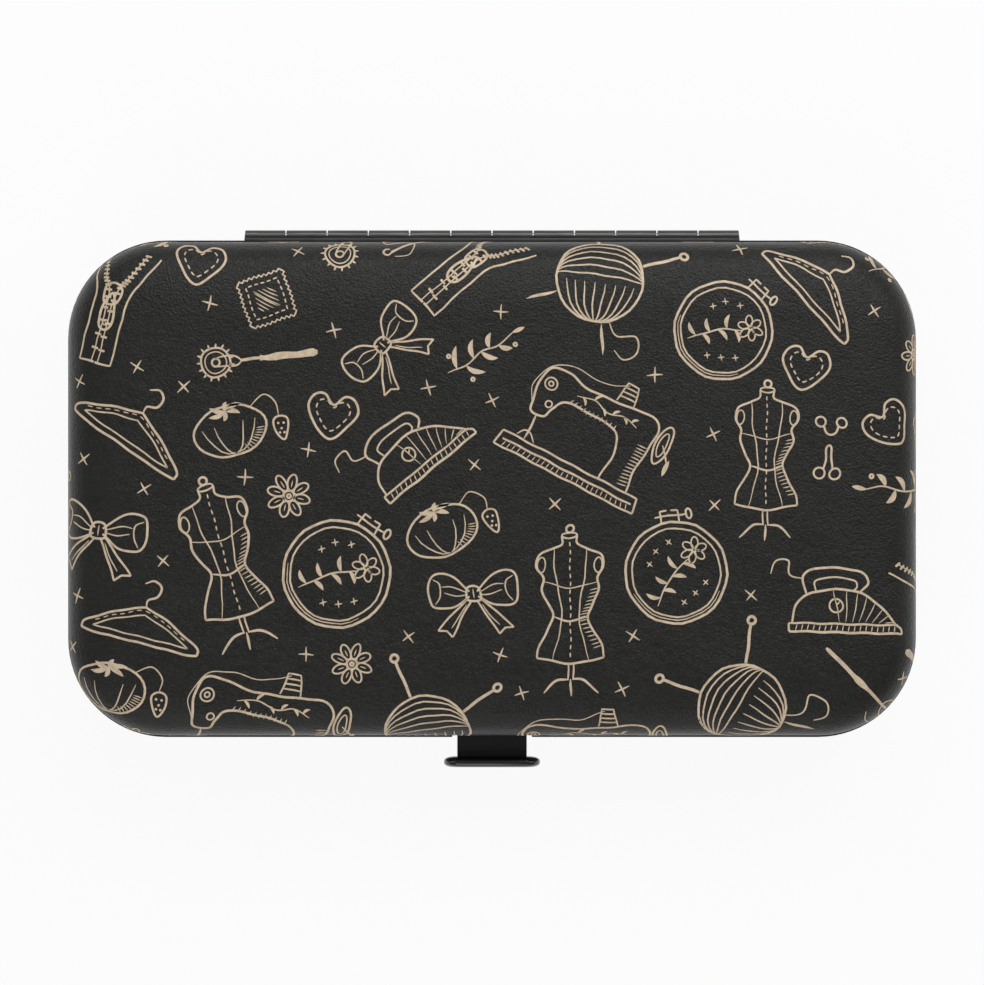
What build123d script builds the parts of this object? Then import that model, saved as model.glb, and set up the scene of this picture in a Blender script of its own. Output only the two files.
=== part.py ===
"""Sewing kit case: a padded leatherette box in two equal halves, each held in a sheet metal
frame, joined at the back by a piano hinge and shut at the front by a sliding spring latch.

Origin: middle of the flat underside. +X along the hinge, +Y towards the hinge, +Z up. Millimetres.
Both halves are built facing up from the parting plane; the base is mirrored down from it.
"""
from build123d import *
import math
import os

os.makedirs("parts", exist_ok=True)

# Outside of the closed case
case_length = 170.0
case_width = 99.6
case_height = 35.0
corner_radius = 19.7
rim_gap = 0.2  # daylight between the two closed rims
cut_over = 1.0  # how far a cutting form runs past what it cuts
corner_flats = 5  # flats in each corner of the faces that are hidden between two sheets
small_round_sides = 20  # small round tools are drawn with this many flats
round_end_flats = 12  # in each round end of the latch tab and the finger rings

# Section of a half: an upright wall, a round edge, then a shallow crown up to a flat middle
edge_radius = 6.5
crown_radius = 50.0
crown_angle = 12.0  # slope at which the round edge hands over to the crown

# Sheets of a half, from the outside in
frame_sheet = 0.6
cover_sheet = 0.8  # leatherette on the wall; its foam backing fills the crown
crown_backing = 1.1
cover_bevel = 3.9
padding_sheet = 1.0
board_sheet = 1.6
lining_sheet = 0.6

# Frame: a channel that holds the edges of all the sheets
rim_width = 4.4
band_height = 4.5
inner_leg_height = 3.3

# Piano hinge
knuckle_count = 12
knuckle_pitch = 8.3
knuckle_gap = 0.25
pin_radius = 0.5
pin_clearance = 0.05
hinge_sheet = 0.5
hinge_standoff = 0.15  # between a knuckle and the band of the other half
curl_slit = 0.15
knuckle_clearance = 0.2
knuckle_sides = 14  # the rolled sheet is drawn with this many flats

# Push latch
neck_width = 14.0
plate_sheet = 1.0
plate_drop = 0.2  # from the parting plane down to the plate
plate_play = 0.2
notch_play = 1.0  # each side of the neck
latch_travel = 2.2
latch_play = 0.3
neck_reach = 4.0
tab_width = 19.4
tab_height = 7.0
tab_depth = 2.4
tab_bevel = 0.6
tab_grip_depth = 1.4  # how far the plate goes into the tab
hook_width = 8.0
hook_sheet = 0.8
hook_bite = 0.8
hook_drop = 2.2  # tip of the hook below the parting plane
shoulder_width = 18.0
shoulder_length = 6.0
shoulder_back = 11.4  # from the inside of the rim to the back of the shoulders
lug_drop = 3.2
lug_sheet = 0.8
housing_wall = 2.0
housing_floor = 0.6
housing_top_sheet = 0.6
spring_length = 4.4
spring_radius = 1.1
spring_spread = 6.4  # each spring from the middle

# Insert in the base
insert_play = 0.3
insert_bevel = 1.4
insert_below_rim = 1.0
pocket_floor = 1.0
pocket_play = 0.3
tool_margin = 6.0  # outermost tools from the ends of the insert
row_margin = 11.0  # the same for the back row, which comes near the round corners
pocket_wall = 2.0

# Tools that lie in the insert
spool_count = 4
spool_radius = 6.2
spool_length = 19.0
spool_flange = 1.6
spool_core = 4.6  # square core under the thread
spool_gap = 1.2
thread_radius = 5.3
thimble_radius = 8.0
thimble_tip_radius = 6.4
thimble_length = 19.0
thimble_wall = 0.9
thimble_sides = 24
pin_box_length = 40.0
pin_box_height = 8.0
pin_box_lid = 1.6
tape_radius = 16.5
tape_core = 4.0
tape_width = 11.0
tape_sides = 40
scissor_blade_length = 40.0
scissor_blade_width = 8.0
blade_belly = 0.6  # share of the blade's length at which its edge turns in to the point
belly_width = 0.75  # share of its half width there
blade_spine = 1.0  # height of the spine over the middle line
scissor_sheet = 1.2
scissor_gap = 0.1
tang_length = 24.0
tang_width = 5.0
grip_length = 30.0
grip_width = 22.0
grip_wall = 4.2
grip_thickness = 5.0
grip_spread = 12.0
grip_offset = 37.0
screw_radius = 1.8
button_count = 3
button_radius = 4.5
button_thickness = 2.2
button_pitch = 11.5
notions_width = 11.5
notions_depth = 8.0

# Tool panel in the lid and what its elastic bands hold
panel_margin = 7.0
panel_sheet = 1.0
ripper_radius = 3.0
ripper_handle_length = 50.0
ripper_blade_length = 24.0
ripper_blade_width = 4.0
ripper_cap_radius = 2.9
ripper_cap_length = 30.0
cap_room = 1.0  # past the tip of the ripper's blade
tool_line = 16.0  # each long tool from the middle of the lid
tweezer_length = 88.0
tweezer_width = 8.0
tweezer_tip = 1.6
tweezer_sheet = 0.8
tweezer_opening = 3.0
band_width = 9.0
band_sheet = 0.7
band_foot = 4.0
band_spread = 25.0
needle_card_length = 34.0
needle_card_width = 52.0
needle_card_sheet = 1.4
seat_gap = 0.05

half_height = case_height / 2
rim_low = rim_gap / 2
rim_inside = rim_low + frame_sheet
cover_wall = frame_sheet + cover_sheet
board_wall = cover_wall + board_sheet
cover_ceiling = half_height - cover_sheet - crown_backing
board_top = cover_ceiling - padding_sheet
board_ceiling = board_top - board_sheet
lining_ceiling = board_ceiling - lining_sheet
corner_x = case_length / 2 - corner_radius
corner_y = case_width / 2 - corner_radius


def outline(offset):
    """Rounded outline of the case, moved inwards by offset."""
    return RectangleRounded(
        case_length - 2 * offset, case_width - 2 * offset, corner_radius - offset
    )


def flat_outline(offset):
    """The same outline with flats for its corners."""
    reach = corner_radius - offset
    points = []
    for turn, (side_x, side_y) in enumerate(((1, 1), (-1, 1), (-1, -1), (1, -1))):
        for step in range(corner_flats + 1):
            angle = math.pi / 2 * (turn + step / corner_flats)
            x = side_x * corner_x + reach * math.cos(angle)
            y = side_y * corner_y + reach * math.sin(angle)
            points.append((x, y))
    return make_face(Polyline(*points, close=True))


def plug(offset, low, high, form=outline):
    """Solid of the outline between two heights."""
    return Pos(0, 0, low) * extrude(form(offset), amount=high - low)


def block(x, y, z):
    """Box from three pairs of lowest and highest values."""
    size = (x[1] - x[0], y[1] - y[0], z[1] - z[0])
    middle = ((x[0] + x[1]) / 2, (y[0] + y[1]) / 2, (z[0] + z[1]) / 2)
    return Pos(*middle) * Box(*size)


def bevelled_plug(offset, low, high, bevel, form=outline):
    """Plug with its upper edge cut at 45 degrees all round."""
    solid = plug(offset, low, high, form)
    return chamfer(solid.edges().group_by(Axis.Z)[-1], bevel)


def many_sided(radius, length, sides=small_round_sides):
    """Small round form, centred on the origin, with flats whose corners lie on the radius."""
    return extrude(RegularPolygon(radius, sides), amount=length / 2, both=True)


def pillow(offset, low):
    """Outer form of a half: wall, round edge and crown, turned at the corners."""
    slope = math.radians(crown_angle)
    reach = corner_radius - offset
    crown_u = reach - edge_radius * (1 - math.sin(slope))
    crown_z = half_height - crown_radius * (1 - math.cos(slope))
    flat_u = crown_u - crown_radius * math.sin(slope)
    wall_top = crown_z - edge_radius * math.cos(slope)
    edge_arc = TangentArc((reach, wall_top), (crown_u, crown_z), tangent=(0, 1))
    uphill = (-math.cos(slope), math.sin(slope))
    crown_arc = TangentArc((crown_u, crown_z), (flat_u, half_height), tangent=uphill)
    wall = Line((reach, low), (reach, wall_top))
    rest = Polyline((flat_u, half_height), (0, half_height), (0, low), (reach, low))
    section = Plane.XZ * make_face(Curve() + [wall, edge_arc, crown_arc, rest])
    corner = revolve(section, axis=Axis.Z, revolution_arc=90)
    form = block((-corner_x, corner_x), (-corner_y, corner_y), (low, half_height))
    quarters = ((1, 1, 2 * corner_x), (-1, 1, 2 * corner_y), (-1, -1, 2 * corner_x), (1, -1, 2 * corner_y))
    for turn, (side_x, side_y, side_length) in enumerate(quarters):
        place = Pos(side_x * corner_x, side_y * corner_y, 0) * Rot(0, 0, 90 * turn)
        side = extrude(section, amount=side_length, dir=(0, 1, 0))
        form += [place * corner, place * Rot(0, 0, 90) * side]
    return form


def oblong(length, width):
    """Outline of a slot with round ends, which are drawn with flats."""
    radius = width / 2
    points = []
    for end in (1, -1):
        for step in range(round_end_flats + 1):
            angle = math.pi * (step / round_end_flats - 0.5)
            reach = length / 2 - radius + radius * math.cos(angle)
            points.append((end * reach, end * radius * math.sin(angle)))
    return make_face(Polyline(*points, close=True))


def in_lid(solid):
    """Move a half from its own parting plane up to the case's."""
    return Pos(0, 0, half_height) * solid


def in_base(solid):
    """Turn a half over, so that it hangs from the case's parting plane."""
    return Pos(0, 0, half_height) * mirror(solid, about=Plane.XY)


def save(name, shape):
    """Write one node, as separate solids if it has several."""
    shape = shape if isinstance(shape, (list, ShapeList)) else [shape]
    solids = [solid for piece in shape for solid in piece.solids()]
    export_step(solids[0] if len(solids) == 1 else Compound(children=solids), f"parts/{name}.step")


# Sheets and frames of the two halves
form_low = rim_inside - cut_over
cover_form = bevelled_plug(cover_wall, form_low, cover_ceiling, cover_bevel, flat_outline)
board_form = bevelled_plug(cover_wall, form_low, board_top, cover_bevel - padding_sheet, flat_outline)
sheet_turn = 2 - math.sqrt(2)  # what a 45 degree bevel loses per millimetre of sheet
board_bevel = cover_bevel - padding_sheet - board_sheet * sheet_turn
board_inside = bevelled_plug(board_wall, form_low, board_ceiling, board_bevel, flat_outline)
lining_bevel = board_bevel - lining_sheet * sheet_turn
lining_inside = bevelled_plug(board_wall + lining_sheet, form_low, lining_ceiling, lining_bevel)
above_rim = block((-case_length, case_length), (-case_width, case_width), (rim_inside, case_height))

cover = pillow(frame_sheet, rim_inside) - cover_form
padding = cover_form - board_form
board = (board_form - board_inside) & above_rim
lining = (board_inside - lining_inside) & above_rim

frame = plug(0, rim_low, band_height) - plug(frame_sheet, rim_inside, band_height + cut_over)
frame -= plug(rim_width, rim_low - cut_over, rim_inside + cut_over, flat_outline)
leg = plug(rim_width - frame_sheet, rim_low, inner_leg_height, flat_outline)
frame += leg - plug(rim_width, rim_low - cut_over, case_height, flat_outline)

# Both bands are open in front for the neck of the latch
notch_half = neck_width / 2 + notch_play
front = -case_width / 2
notch_x = (-notch_half, notch_half)
band_notch = block(notch_x, (front - cut_over, front + frame_sheet), (-cut_over, band_height + cut_over))
passage_height = plate_drop + plate_sheet + plate_play
passage = block(notch_x, (front - cut_over, front + rim_width), (rim_low - cut_over, passage_height))
leg_notch = block(
    notch_x,
    (front + rim_width - frame_sheet, front + rim_width + cut_over),
    (rim_low - cut_over, inner_leg_height + cut_over),
)

save("lid_cover", in_lid(cover))
save("lid_padding", in_lid(padding))
save("lid_shell", in_lid(board))
save("lid_lining", in_lid(lining))
save("lid_frame", in_lid(frame - band_notch))
save("base_cover", in_base(cover - passage))
save("base_padding", in_base(padding))
save("base_shell", in_base(board - passage))
save("base_frame", in_base(frame - band_notch - passage - leg_notch))

# Piano hinge: two leaves with rolled knuckles that alternate along one pin
knuckle_radius = pin_radius + pin_clearance + hinge_sheet
hinge_length = knuckle_count * knuckle_pitch
leaf_face = case_width / 2
hinge_y = leaf_face + hinge_standoff + knuckle_radius
leaf_notch_height = knuckle_radius + knuckle_clearance


def roll(radius, span):
    """Round form along the hinge axis; its flats touch the radius."""
    section = RegularPolygon(radius, knuckle_sides, major_radius=False)
    return Pos(span[0], hinge_y, 0) * Rot(0, 90, 0) * extrude(section, amount=span[1] - span[0])


def hinge_leaf(first):
    """Leaf of one half: a strip on the band, notched where the other leaf has its knuckles."""
    strip_y = (leaf_face, leaf_face + hinge_sheet)
    leaf = block((-hinge_length / 2, hinge_length / 2), strip_y, (leaf_notch_height, band_height))
    for number in range(first, knuckle_count, 2):
        left = -hinge_length / 2 + number * knuckle_pitch + knuckle_gap / 2
        span = (left, left + knuckle_pitch - knuckle_gap)
        leaf += block(span, strip_y, (0, leaf_notch_height))
        leaf += roll(knuckle_radius, span)
        slit_y = (leaf_face + hinge_sheet, leaf_face + hinge_sheet + curl_slit)
        leaf -= block(span, slit_y, (pin_radius / 2, leaf_notch_height))
    return leaf - roll(pin_radius + pin_clearance, (-hinge_length / 2, hinge_length / 2))


save("hinge_leaf_lid", in_lid(hinge_leaf(0)))
save("hinge_leaf_base", in_base(hinge_leaf(1)))
pin = Pos(0, hinge_y, half_height) * Rot(0, 90, 0) * Cylinder(pin_radius, hinge_length)
save("hinge_pin", pin)

# Push latch: heights here are above the parting plane, and the tab is pushed towards +Y
plate_top = -plate_drop
plate_low = plate_top - plate_sheet
neck_front = front - neck_reach
hook_front = front + rim_width
hook_back = hook_front + hook_sheet
window_front = hook_front - latch_play - latch_travel
window_back = hook_back + latch_play
shoulder_rear = hook_front + shoulder_back
shoulder_front = shoulder_rear - shoulder_length
neck = (-neck_width / 2, neck_width / 2)
shoulders = (-shoulder_width / 2, shoulder_width / 2)
window = (-hook_width / 2 - latch_play, hook_width / 2 + latch_play)

plate = block(neck, (neck_front - tab_grip_depth, shoulder_rear), (plate_low, plate_top))
plate += block(shoulders, (shoulder_front, shoulder_rear), (plate_low, plate_top))
lug_half = spring_radius + lug_sheet
for side in (-1, 1):
    lug = (side * spring_spread - lug_half, side * spring_spread + lug_half)
    plate += block(lug, (shoulder_rear - lug_sheet, shoulder_rear), (plate_top - lug_drop, plate_low))
plate -= block(window, (window_front, window_back), (plate_low - cut_over, plate_top + cut_over))
save("latch_plate", in_lid(plate))

tab_middle = (plate_top + plate_low) / 2
tab = extrude(Plane.XZ * oblong(tab_width, tab_height), amount=tab_depth)
tab = chamfer(tab.edges().group_by(Axis.Y)[0], tab_bevel)
tab = Pos(0, neck_front, tab_middle) * tab
save("latch_tab", in_lid(tab - plate))

nose_top = plate_low - plate_play
hook = block((-hook_width / 2, hook_width / 2), (hook_front, hook_back), (-hook_drop, inner_leg_height))
hook += block(
    (-hook_width / 2, hook_width / 2), (hook_back, window_back + hook_bite), (-hook_drop, nose_top)
)
save("latch_hook", in_lid(hook))

housing_rear = shoulder_rear + spring_length
housing_outer = (-shoulder_width / 2 - housing_wall, shoulder_width / 2 + housing_wall)
housing_back = housing_rear + frame_sheet
housing_low = plate_top - lug_drop - plate_play - housing_floor
channel = (-neck_width / 2 - plate_play, neck_width / 2 + plate_play)
hollow = (-shoulder_width / 2 - plate_play, shoulder_width / 2 + plate_play)
nose_room = (window[0] - latch_play, window[1] + latch_play)
nose_back = window_back + hook_bite + latch_play
hollow_low = plate_top - lug_drop - plate_play
housing = block(housing_outer, (hook_front, housing_back), (housing_low, 0))
housing -= block(channel, (hook_front - cut_over, shoulder_front), (plate_low - plate_play, cut_over))
housing -= block(hollow, (shoulder_front, housing_rear), (hollow_low, cut_over))
housing -= block(nose_room, (hook_front - cut_over, nose_back), (-hook_drop - plate_play, cut_over))
save("latch_housing", in_lid(housing))

top_y = (nose_back, housing_back)
save("latch_housing_top", in_lid(block(housing_outer, top_y, (0, housing_top_sheet))))

spring_z = plate_low - plate_play - spring_radius
springs = []
for side in (-1, 1):
    place = Pos(side * spring_spread, shoulder_rear + spring_length / 2, spring_z) * Rot(90, 0, 0)
    springs.append(in_lid(place * many_sided(spring_radius, spring_length)))
save("latch_springs", springs)

# Foam insert with its pockets; heights from here on are above the underside of the case
insert_offset = rim_width + insert_play
insert_low = half_height - board_ceiling
insert_top = half_height - insert_below_rim
pocket_low = insert_low + pocket_floor
insert_x = case_length / 2 - insert_offset
insert_y = case_width / 2 - insert_offset
insert = in_base(bevelled_plug(insert_offset, insert_below_rim, board_ceiling, insert_bevel))

# Row of thread spools at the back left
spool_y = insert_y - pocket_wall - pocket_play - spool_length / 2
spool_z = pocket_low + pocket_play + spool_radius
spool_pitch = 2 * spool_radius + spool_gap
row_left = -insert_x + row_margin
row_right = row_left + spool_count * spool_pitch
row_y = (spool_y - spool_length / 2 - pocket_play, spool_y + spool_length / 2 + pocket_play)
insert -= block((row_left, row_right), row_y, (pocket_low, case_height))

lying = Rot(90, 0, 0)  # turns an upright form so that it lies along Y
winding_length = spool_length - 2 * spool_flange
spools = []
windings = []
for number in range(spool_count):
    place = Pos(row_left + (number + 0.5) * spool_pitch, spool_y, spool_z) * lying
    core = Box(spool_core, spool_core, spool_length)
    flange = many_sided(spool_radius, spool_flange)
    ends = [Pos(0, 0, side * (spool_length - spool_flange) / 2) * flange for side in (-1, 1)]
    spools.append(place * (core + ends))
    windings.append(place * (many_sided(thread_radius, winding_length) - core))
save("thread_spools", spools)
save("thread_windings", windings)

# Thimble and pin box, further right in the same row
thimble_x = row_right + pocket_wall + pocket_play + thimble_radius
thimble_z = pocket_low + pocket_play + thimble_radius
thimble_side = (thimble_x - thimble_radius - pocket_play, thimble_x + thimble_radius + pocket_play)
insert -= block(thimble_side, row_y, (pocket_low, case_height))


def cup(low, tip_radius, high, mouth_radius):
    """Form of the thimble, from flat faces: it widens from its tip to its mouth."""
    circles = []
    for level, radius in ((low, tip_radius), (high, mouth_radius)):
        angles = [2 * math.pi * side / thimble_sides for side in range(thimble_sides)]
        circles.append([(radius * math.cos(angle), radius * math.sin(angle), level) for angle in angles])
    walls = [(circles[0][side - 1], circles[0][side], circles[1][side], circles[1][side - 1])
             for side in range(thimble_sides)]
    return Solid(Shell([make_face(Polyline(*corners, close=True)).face() for corners in circles + walls]))


thimble = cup(0, thimble_tip_radius, thimble_length, thimble_radius)
thimble -= cup(
    thimble_wall, thimble_tip_radius - thimble_wall, thimble_length + cut_over, thimble_radius - thimble_wall
)
thimble_tip_y = spool_y + spool_length / 2
save("thimble", Pos(thimble_x, thimble_tip_y, thimble_z) * lying * thimble)

box_right = insert_x - row_margin
box_x = (box_right - pin_box_length, box_right)
box_y = (spool_y - spool_length / 2, spool_y + spool_length / 2)
box_low = insert_top - pin_box_height
insert -= block((box_x[0] - pocket_play, box_x[1] + pocket_play), row_y, (box_low, case_height))
box_body = block(box_x, box_y, (box_low, box_low + pin_box_height))
box_body -= block(
    (box_x[0] + pin_box_lid, box_x[1] - pin_box_lid),
    (box_y[0] + pin_box_lid, box_y[1] - pin_box_lid),
    (box_low + pin_box_lid, case_height),
)
save("pin_box", box_body)
save("pin_box_lid", block(box_x, box_y, (insert_top, insert_top + pin_box_lid)))

# Rolled tape measure at the right
tape_x = insert_x - tool_margin - pocket_play - tape_radius
tape_y = row_y[0] - pocket_wall - pocket_play - tape_radius
tape_low = pocket_low + pocket_play
insert -= Pos(tape_x, tape_y, pocket_low) * Cylinder(
    tape_radius + pocket_play, case_height, align=(Align.CENTER, Align.CENTER, Align.MIN)
)
tape = many_sided(tape_radius, tape_width, tape_sides) - many_sided(tape_core, tape_width)
save("tape_measure", Pos(tape_x, tape_y, tape_low + tape_width / 2) * tape)

# Scissors at the left, closed, with the rings towards the end of the case
scissor_length_back = grip_offset + grip_length / 2
pivot_x = -insert_x + tool_margin + scissor_length_back
pivot_y = row_y[0] - pocket_wall - pocket_play - grip_spread - grip_width / 2
scissor_low = insert_top - grip_thickness
pivot = Pos(pivot_x, pivot_y, 0)
grip_reach = grip_spread + grip_width / 2 + pocket_play
blade_half = scissor_blade_width / 2 + pocket_wall
pocket_back = -scissor_length_back - pocket_play
pocket_tip = scissor_blade_length + pocket_wall
scissor_pocket = make_face(Polyline(
    (pocket_back, -grip_reach), (-tang_length, -grip_reach), (0, -blade_half), (pocket_tip, -blade_half / 2),
    (pocket_tip, blade_half / 2), (0, blade_half), (-tang_length, grip_reach), (pocket_back, grip_reach),
    (pocket_back, -grip_reach),
))
insert -= pivot * Pos(0, 0, scissor_low - pocket_play) * extrude(scissor_pocket, amount=case_height)


def scissor_half(side):
    """Blade with its tang; the blade lies on one side of the middle and the tang on the other."""
    half = scissor_blade_width / 2
    belly = (scissor_blade_length * blade_belly, -side * half * belly_width)
    blade = make_face(Polyline(
        (-half, -side * half), (half, -side * half), belly, (scissor_blade_length, 0),
        (half, side * blade_spine), (-half, side * half), close=True,
    ))
    grip_end = (-tang_length, side * grip_spread)
    across = Vector(grip_end[1], -grip_end[0]).normalized() * (tang_width / 2)
    tang = make_face(Polyline(
        (across.X, across.Y), (grip_end[0] + across.X, grip_end[1] + across.Y),
        (grip_end[0] - across.X, grip_end[1] - across.Y), (-across.X, -across.Y), close=True,
    ))
    return extrude(blade + tang, amount=scissor_sheet)


def scissor_grip(side):
    """Moulded finger ring that holds the end of the tang."""
    ring = oblong(grip_length, grip_width) - oblong(grip_length - 2 * grip_wall, grip_width - 2 * grip_wall)
    return Pos(-grip_offset, side * grip_spread) * extrude(ring, amount=grip_thickness)


blades_z = scissor_low + (grip_thickness - 2 * scissor_sheet - scissor_gap) / 2
upper_blade_z = blades_z + scissor_sheet + scissor_gap
layers = (("scissor_blade_lower", 1, blades_z), ("scissor_blade_upper", -1, upper_blade_z))
screw_height = 2 * scissor_sheet + scissor_gap
screw = Pos(0, 0, blades_z + screw_height / 2) * many_sided(screw_radius, screw_height)
grips = []
for name, side, low in layers:
    steel = Pos(0, 0, low) * scissor_half(side) - screw
    save(name, pivot * steel)
    grips.append(pivot * (Pos(0, 0, scissor_low) * scissor_grip(side) - steel))
save("scissor_grips", grips)
save("scissor_screw", pivot * screw)

# Two long pockets in front for small things, with buttons in the right one
notions_y = (-insert_y + pocket_wall, -insert_y + pocket_wall + notions_width)
notions_low = insert_top - notions_depth
for side in (-1, 1):
    near = side * (housing_outer[1] + pocket_wall)
    far = side * (insert_x - row_margin)
    insert -= block(sorted((near, far)), notions_y, (notions_low, case_height))
buttons = []
button_y = (notions_y[0] + notions_y[1]) / 2
for number in range(button_count):
    button_x = insert_x - row_margin - pocket_wall - button_radius - number * button_pitch
    middle = Pos(button_x, button_y, notions_low + button_thickness / 2)
    buttons.append(middle * many_sided(button_radius, button_thickness))
save("buttons", buttons)
insert -= block(
    (housing_outer[0] - insert_play, housing_outer[1] + insert_play),
    (-case_width / 2, housing_back + insert_play),
    (half_height + housing_low - insert_play, case_height),
)
save("tool_insert", insert)

# Tool panel under the lid; heights are above the parting plane again
panel_low = lining_ceiling - panel_sheet
panel = plug(panel_margin, panel_low, lining_ceiling)
save("tool_panel", in_lid(panel))

ripper_z = panel_low - seat_gap - ripper_radius
ripper_half_width = ripper_radius / math.cos(math.radians(30))
ripper_left = -case_length / 2 + panel_margin + tool_margin


def six_sided(radius, left, length):
    """Bar of six flats along X, on the line of the seam ripper."""
    bar = extrude(RegularPolygon(radius, 6, major_radius=False, rotation=30), amount=length)
    return Pos(left, tool_line, ripper_z) * Rot(0, 90, 0) * bar


handle = six_sided(ripper_radius, ripper_left, ripper_handle_length)
save("seam_ripper_handle", in_lid(handle))
blade_left = ripper_left + ripper_handle_length
blade_half_width = ripper_blade_width / 2
ripper_blade = block(
    (blade_left, blade_left + ripper_blade_length),
    (tool_line - blade_half_width, tool_line + blade_half_width),
    (ripper_z - tweezer_sheet / 2, ripper_z + tweezer_sheet / 2),
)
save("seam_ripper_blade", in_lid(ripper_blade))
cap = six_sided(ripper_cap_radius, blade_left, ripper_cap_length)
cap -= six_sided(blade_half_width + pocket_play, blade_left, ripper_blade_length + cap_room)
save("seam_ripper_cap", in_lid(cap))

half_width = tweezer_width / 2
tweezer_section = Polyline(
    (0, 0), (tweezer_length, 0), (tweezer_length, tweezer_sheet), (2 * tweezer_sheet, tweezer_sheet),
    (2 * tweezer_sheet, tweezer_opening - tweezer_sheet), (tweezer_length, tweezer_sheet + seat_gap),
    (tweezer_length, 2 * tweezer_sheet + seat_gap), (2 * tweezer_sheet, tweezer_opening),
    (0, tweezer_opening), (0, 0),
)
tweezers = extrude(Plane.XZ * make_face(tweezer_section), amount=half_width, both=True)
tweezer_plan = make_face(Polyline(
    (0, -half_width), (tweezer_length / 2, -half_width), (tweezer_length, -tweezer_tip / 2),
    (tweezer_length, tweezer_tip / 2), (tweezer_length / 2, half_width), (0, half_width), (0, -half_width),
))
tweezers &= extrude(tweezer_plan, amount=tweezer_opening)
tweezers = Pos(ripper_left, -tool_line, panel_low - seat_gap) * Rot(180, 0, 0) * tweezers
save("tweezers", in_lid(tweezers))

# Elastic bands: each runs over a tool and is stitched down on both sides of it
bands = []
for band_x in (ripper_left + band_spread / 2, ripper_left + band_spread / 2 + band_spread):
    for line, half, deep in (
        (tool_line, ripper_half_width, 2 * ripper_radius),
        (-tool_line, half_width, tweezer_opening),
    ):
        inner_half = half + pocket_play
        inner_low = panel_low - seat_gap - deep - pocket_play
        span = (band_x - band_width / 2, band_x + band_width / 2)
        feet = (line - inner_half - band_sheet - band_foot, line + inner_half + band_sheet + band_foot)
        band = block(span, feet, (panel_low - band_sheet, panel_low))
        hoop = (line - inner_half - band_sheet, line + inner_half + band_sheet)
        band += block(span, hoop, (inner_low - band_sheet, panel_low))
        band -= block(span, (line - inner_half, line + inner_half), (inner_low, panel_low))
        bands.append(in_lid(band))
save("elastic_bands", bands)

card_right = case_length / 2 - panel_margin - tool_margin
card = block(
    (card_right - needle_card_length, card_right),
    (-needle_card_width / 2, needle_card_width / 2),
    (panel_low - needle_card_sheet, panel_low),
)
save("needle_card", in_lid(card))
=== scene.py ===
"""Looks of a sewing kit case: printed black leatherette halves in gunmetal frames, a piano hinge at
the back, a push latch in front, and the tools inside. Sizes are millimetres until a mesh is made."""
import math
import bmesh
import bpy
import numpy as np
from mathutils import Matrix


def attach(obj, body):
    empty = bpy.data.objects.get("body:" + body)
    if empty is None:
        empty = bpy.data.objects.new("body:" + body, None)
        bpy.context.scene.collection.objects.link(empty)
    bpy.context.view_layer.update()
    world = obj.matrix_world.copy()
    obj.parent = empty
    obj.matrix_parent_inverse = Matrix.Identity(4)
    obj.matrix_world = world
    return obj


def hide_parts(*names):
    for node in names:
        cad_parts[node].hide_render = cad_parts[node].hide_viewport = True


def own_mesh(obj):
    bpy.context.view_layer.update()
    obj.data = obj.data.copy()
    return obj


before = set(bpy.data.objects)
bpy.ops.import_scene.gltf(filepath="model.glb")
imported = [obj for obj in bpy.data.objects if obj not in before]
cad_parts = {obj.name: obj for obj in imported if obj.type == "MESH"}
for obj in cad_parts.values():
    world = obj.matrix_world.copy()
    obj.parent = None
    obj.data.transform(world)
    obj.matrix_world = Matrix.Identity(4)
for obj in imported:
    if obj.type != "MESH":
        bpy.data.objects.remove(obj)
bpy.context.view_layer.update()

# Floor, lamps and camera
# A white sweep under the case, a large soft lamp behind it that draws the broad sheen on the back
# of the lid, and weaker ones in front and at the sides. The camera looks straight down.
MM = 0.001
PARTING = 17.5
PHOTO_PIXELS = 984
PIXELS_PER_MM = 4.965
CAMERA_HEIGHT = 1100.0
AIM_Y = -0.75
SENSOR = 36.0

camera_data = bpy.data.cameras.new("camera")
camera_data.sensor_fit = "HORIZONTAL"
camera_data.sensor_width = SENSOR
camera_data.lens = SENSOR * CAMERA_HEIGHT / (PHOTO_PIXELS / PIXELS_PER_MM)
camera_data.clip_start = 0.01
camera_data.clip_end = 20
camera = bpy.data.objects.new("camera", camera_data)
camera.location = (0, AIM_Y * MM, (PARTING + CAMERA_HEIGHT) * MM)
bpy.context.collection.objects.link(camera)
bpy.context.scene.camera = camera
bpy.context.scene.view_settings.view_transform = "Standard"


def lamp(name, place, aim, size, power):
    """White rectangular soft lamp at a place in metres, turned so that it faces the aim point."""
    data = bpy.data.lights.new(name, "AREA")
    data.shape = "RECTANGLE"
    data.size, data.size_y = size
    data.energy = power
    lit = bpy.data.objects.new(name, data)
    lit.location = place
    direction = np.subtract(aim, place)
    tilt = math.atan2(math.hypot(direction[0], direction[1]), -direction[2])
    lit.rotation_euler = (tilt, 0, math.atan2(-direction[0], direction[1]))
    lit.visible_camera = False
    bpy.context.collection.objects.link(lit)


CENTRE = (0, 0, PARTING * MM)
lamp("back_softbox", (0.1, 0.36, 0.48), CENTRE, (0.7, 0.28), 2.1)
lamp("front_fill", (-0.35, -1.0, 1.15), CENTRE, (1.0, 0.6), 4.1)
lamp("front_strip", (0.0, -1.1, 0.5), CENTRE, (1.4, 0.25), 1.4)
lamp("left_side", (-1.1, 0.1, 0.55), CENTRE, (0.3, 0.9), 0.9)
lamp("right_side", (1.1, 0.1, 0.55), CENTRE, (0.3, 0.9), 0.9)

ROOM_LIGHT = 0.26
world = bpy.data.worlds.new("room")
world.use_nodes = True
bpy.context.scene.world = world
room = world.node_tree.nodes["Background"]
room.inputs["Color"].default_value = (1, 1, 1, 1)
room.inputs["Strength"].default_value = ROOM_LIGHT

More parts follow.
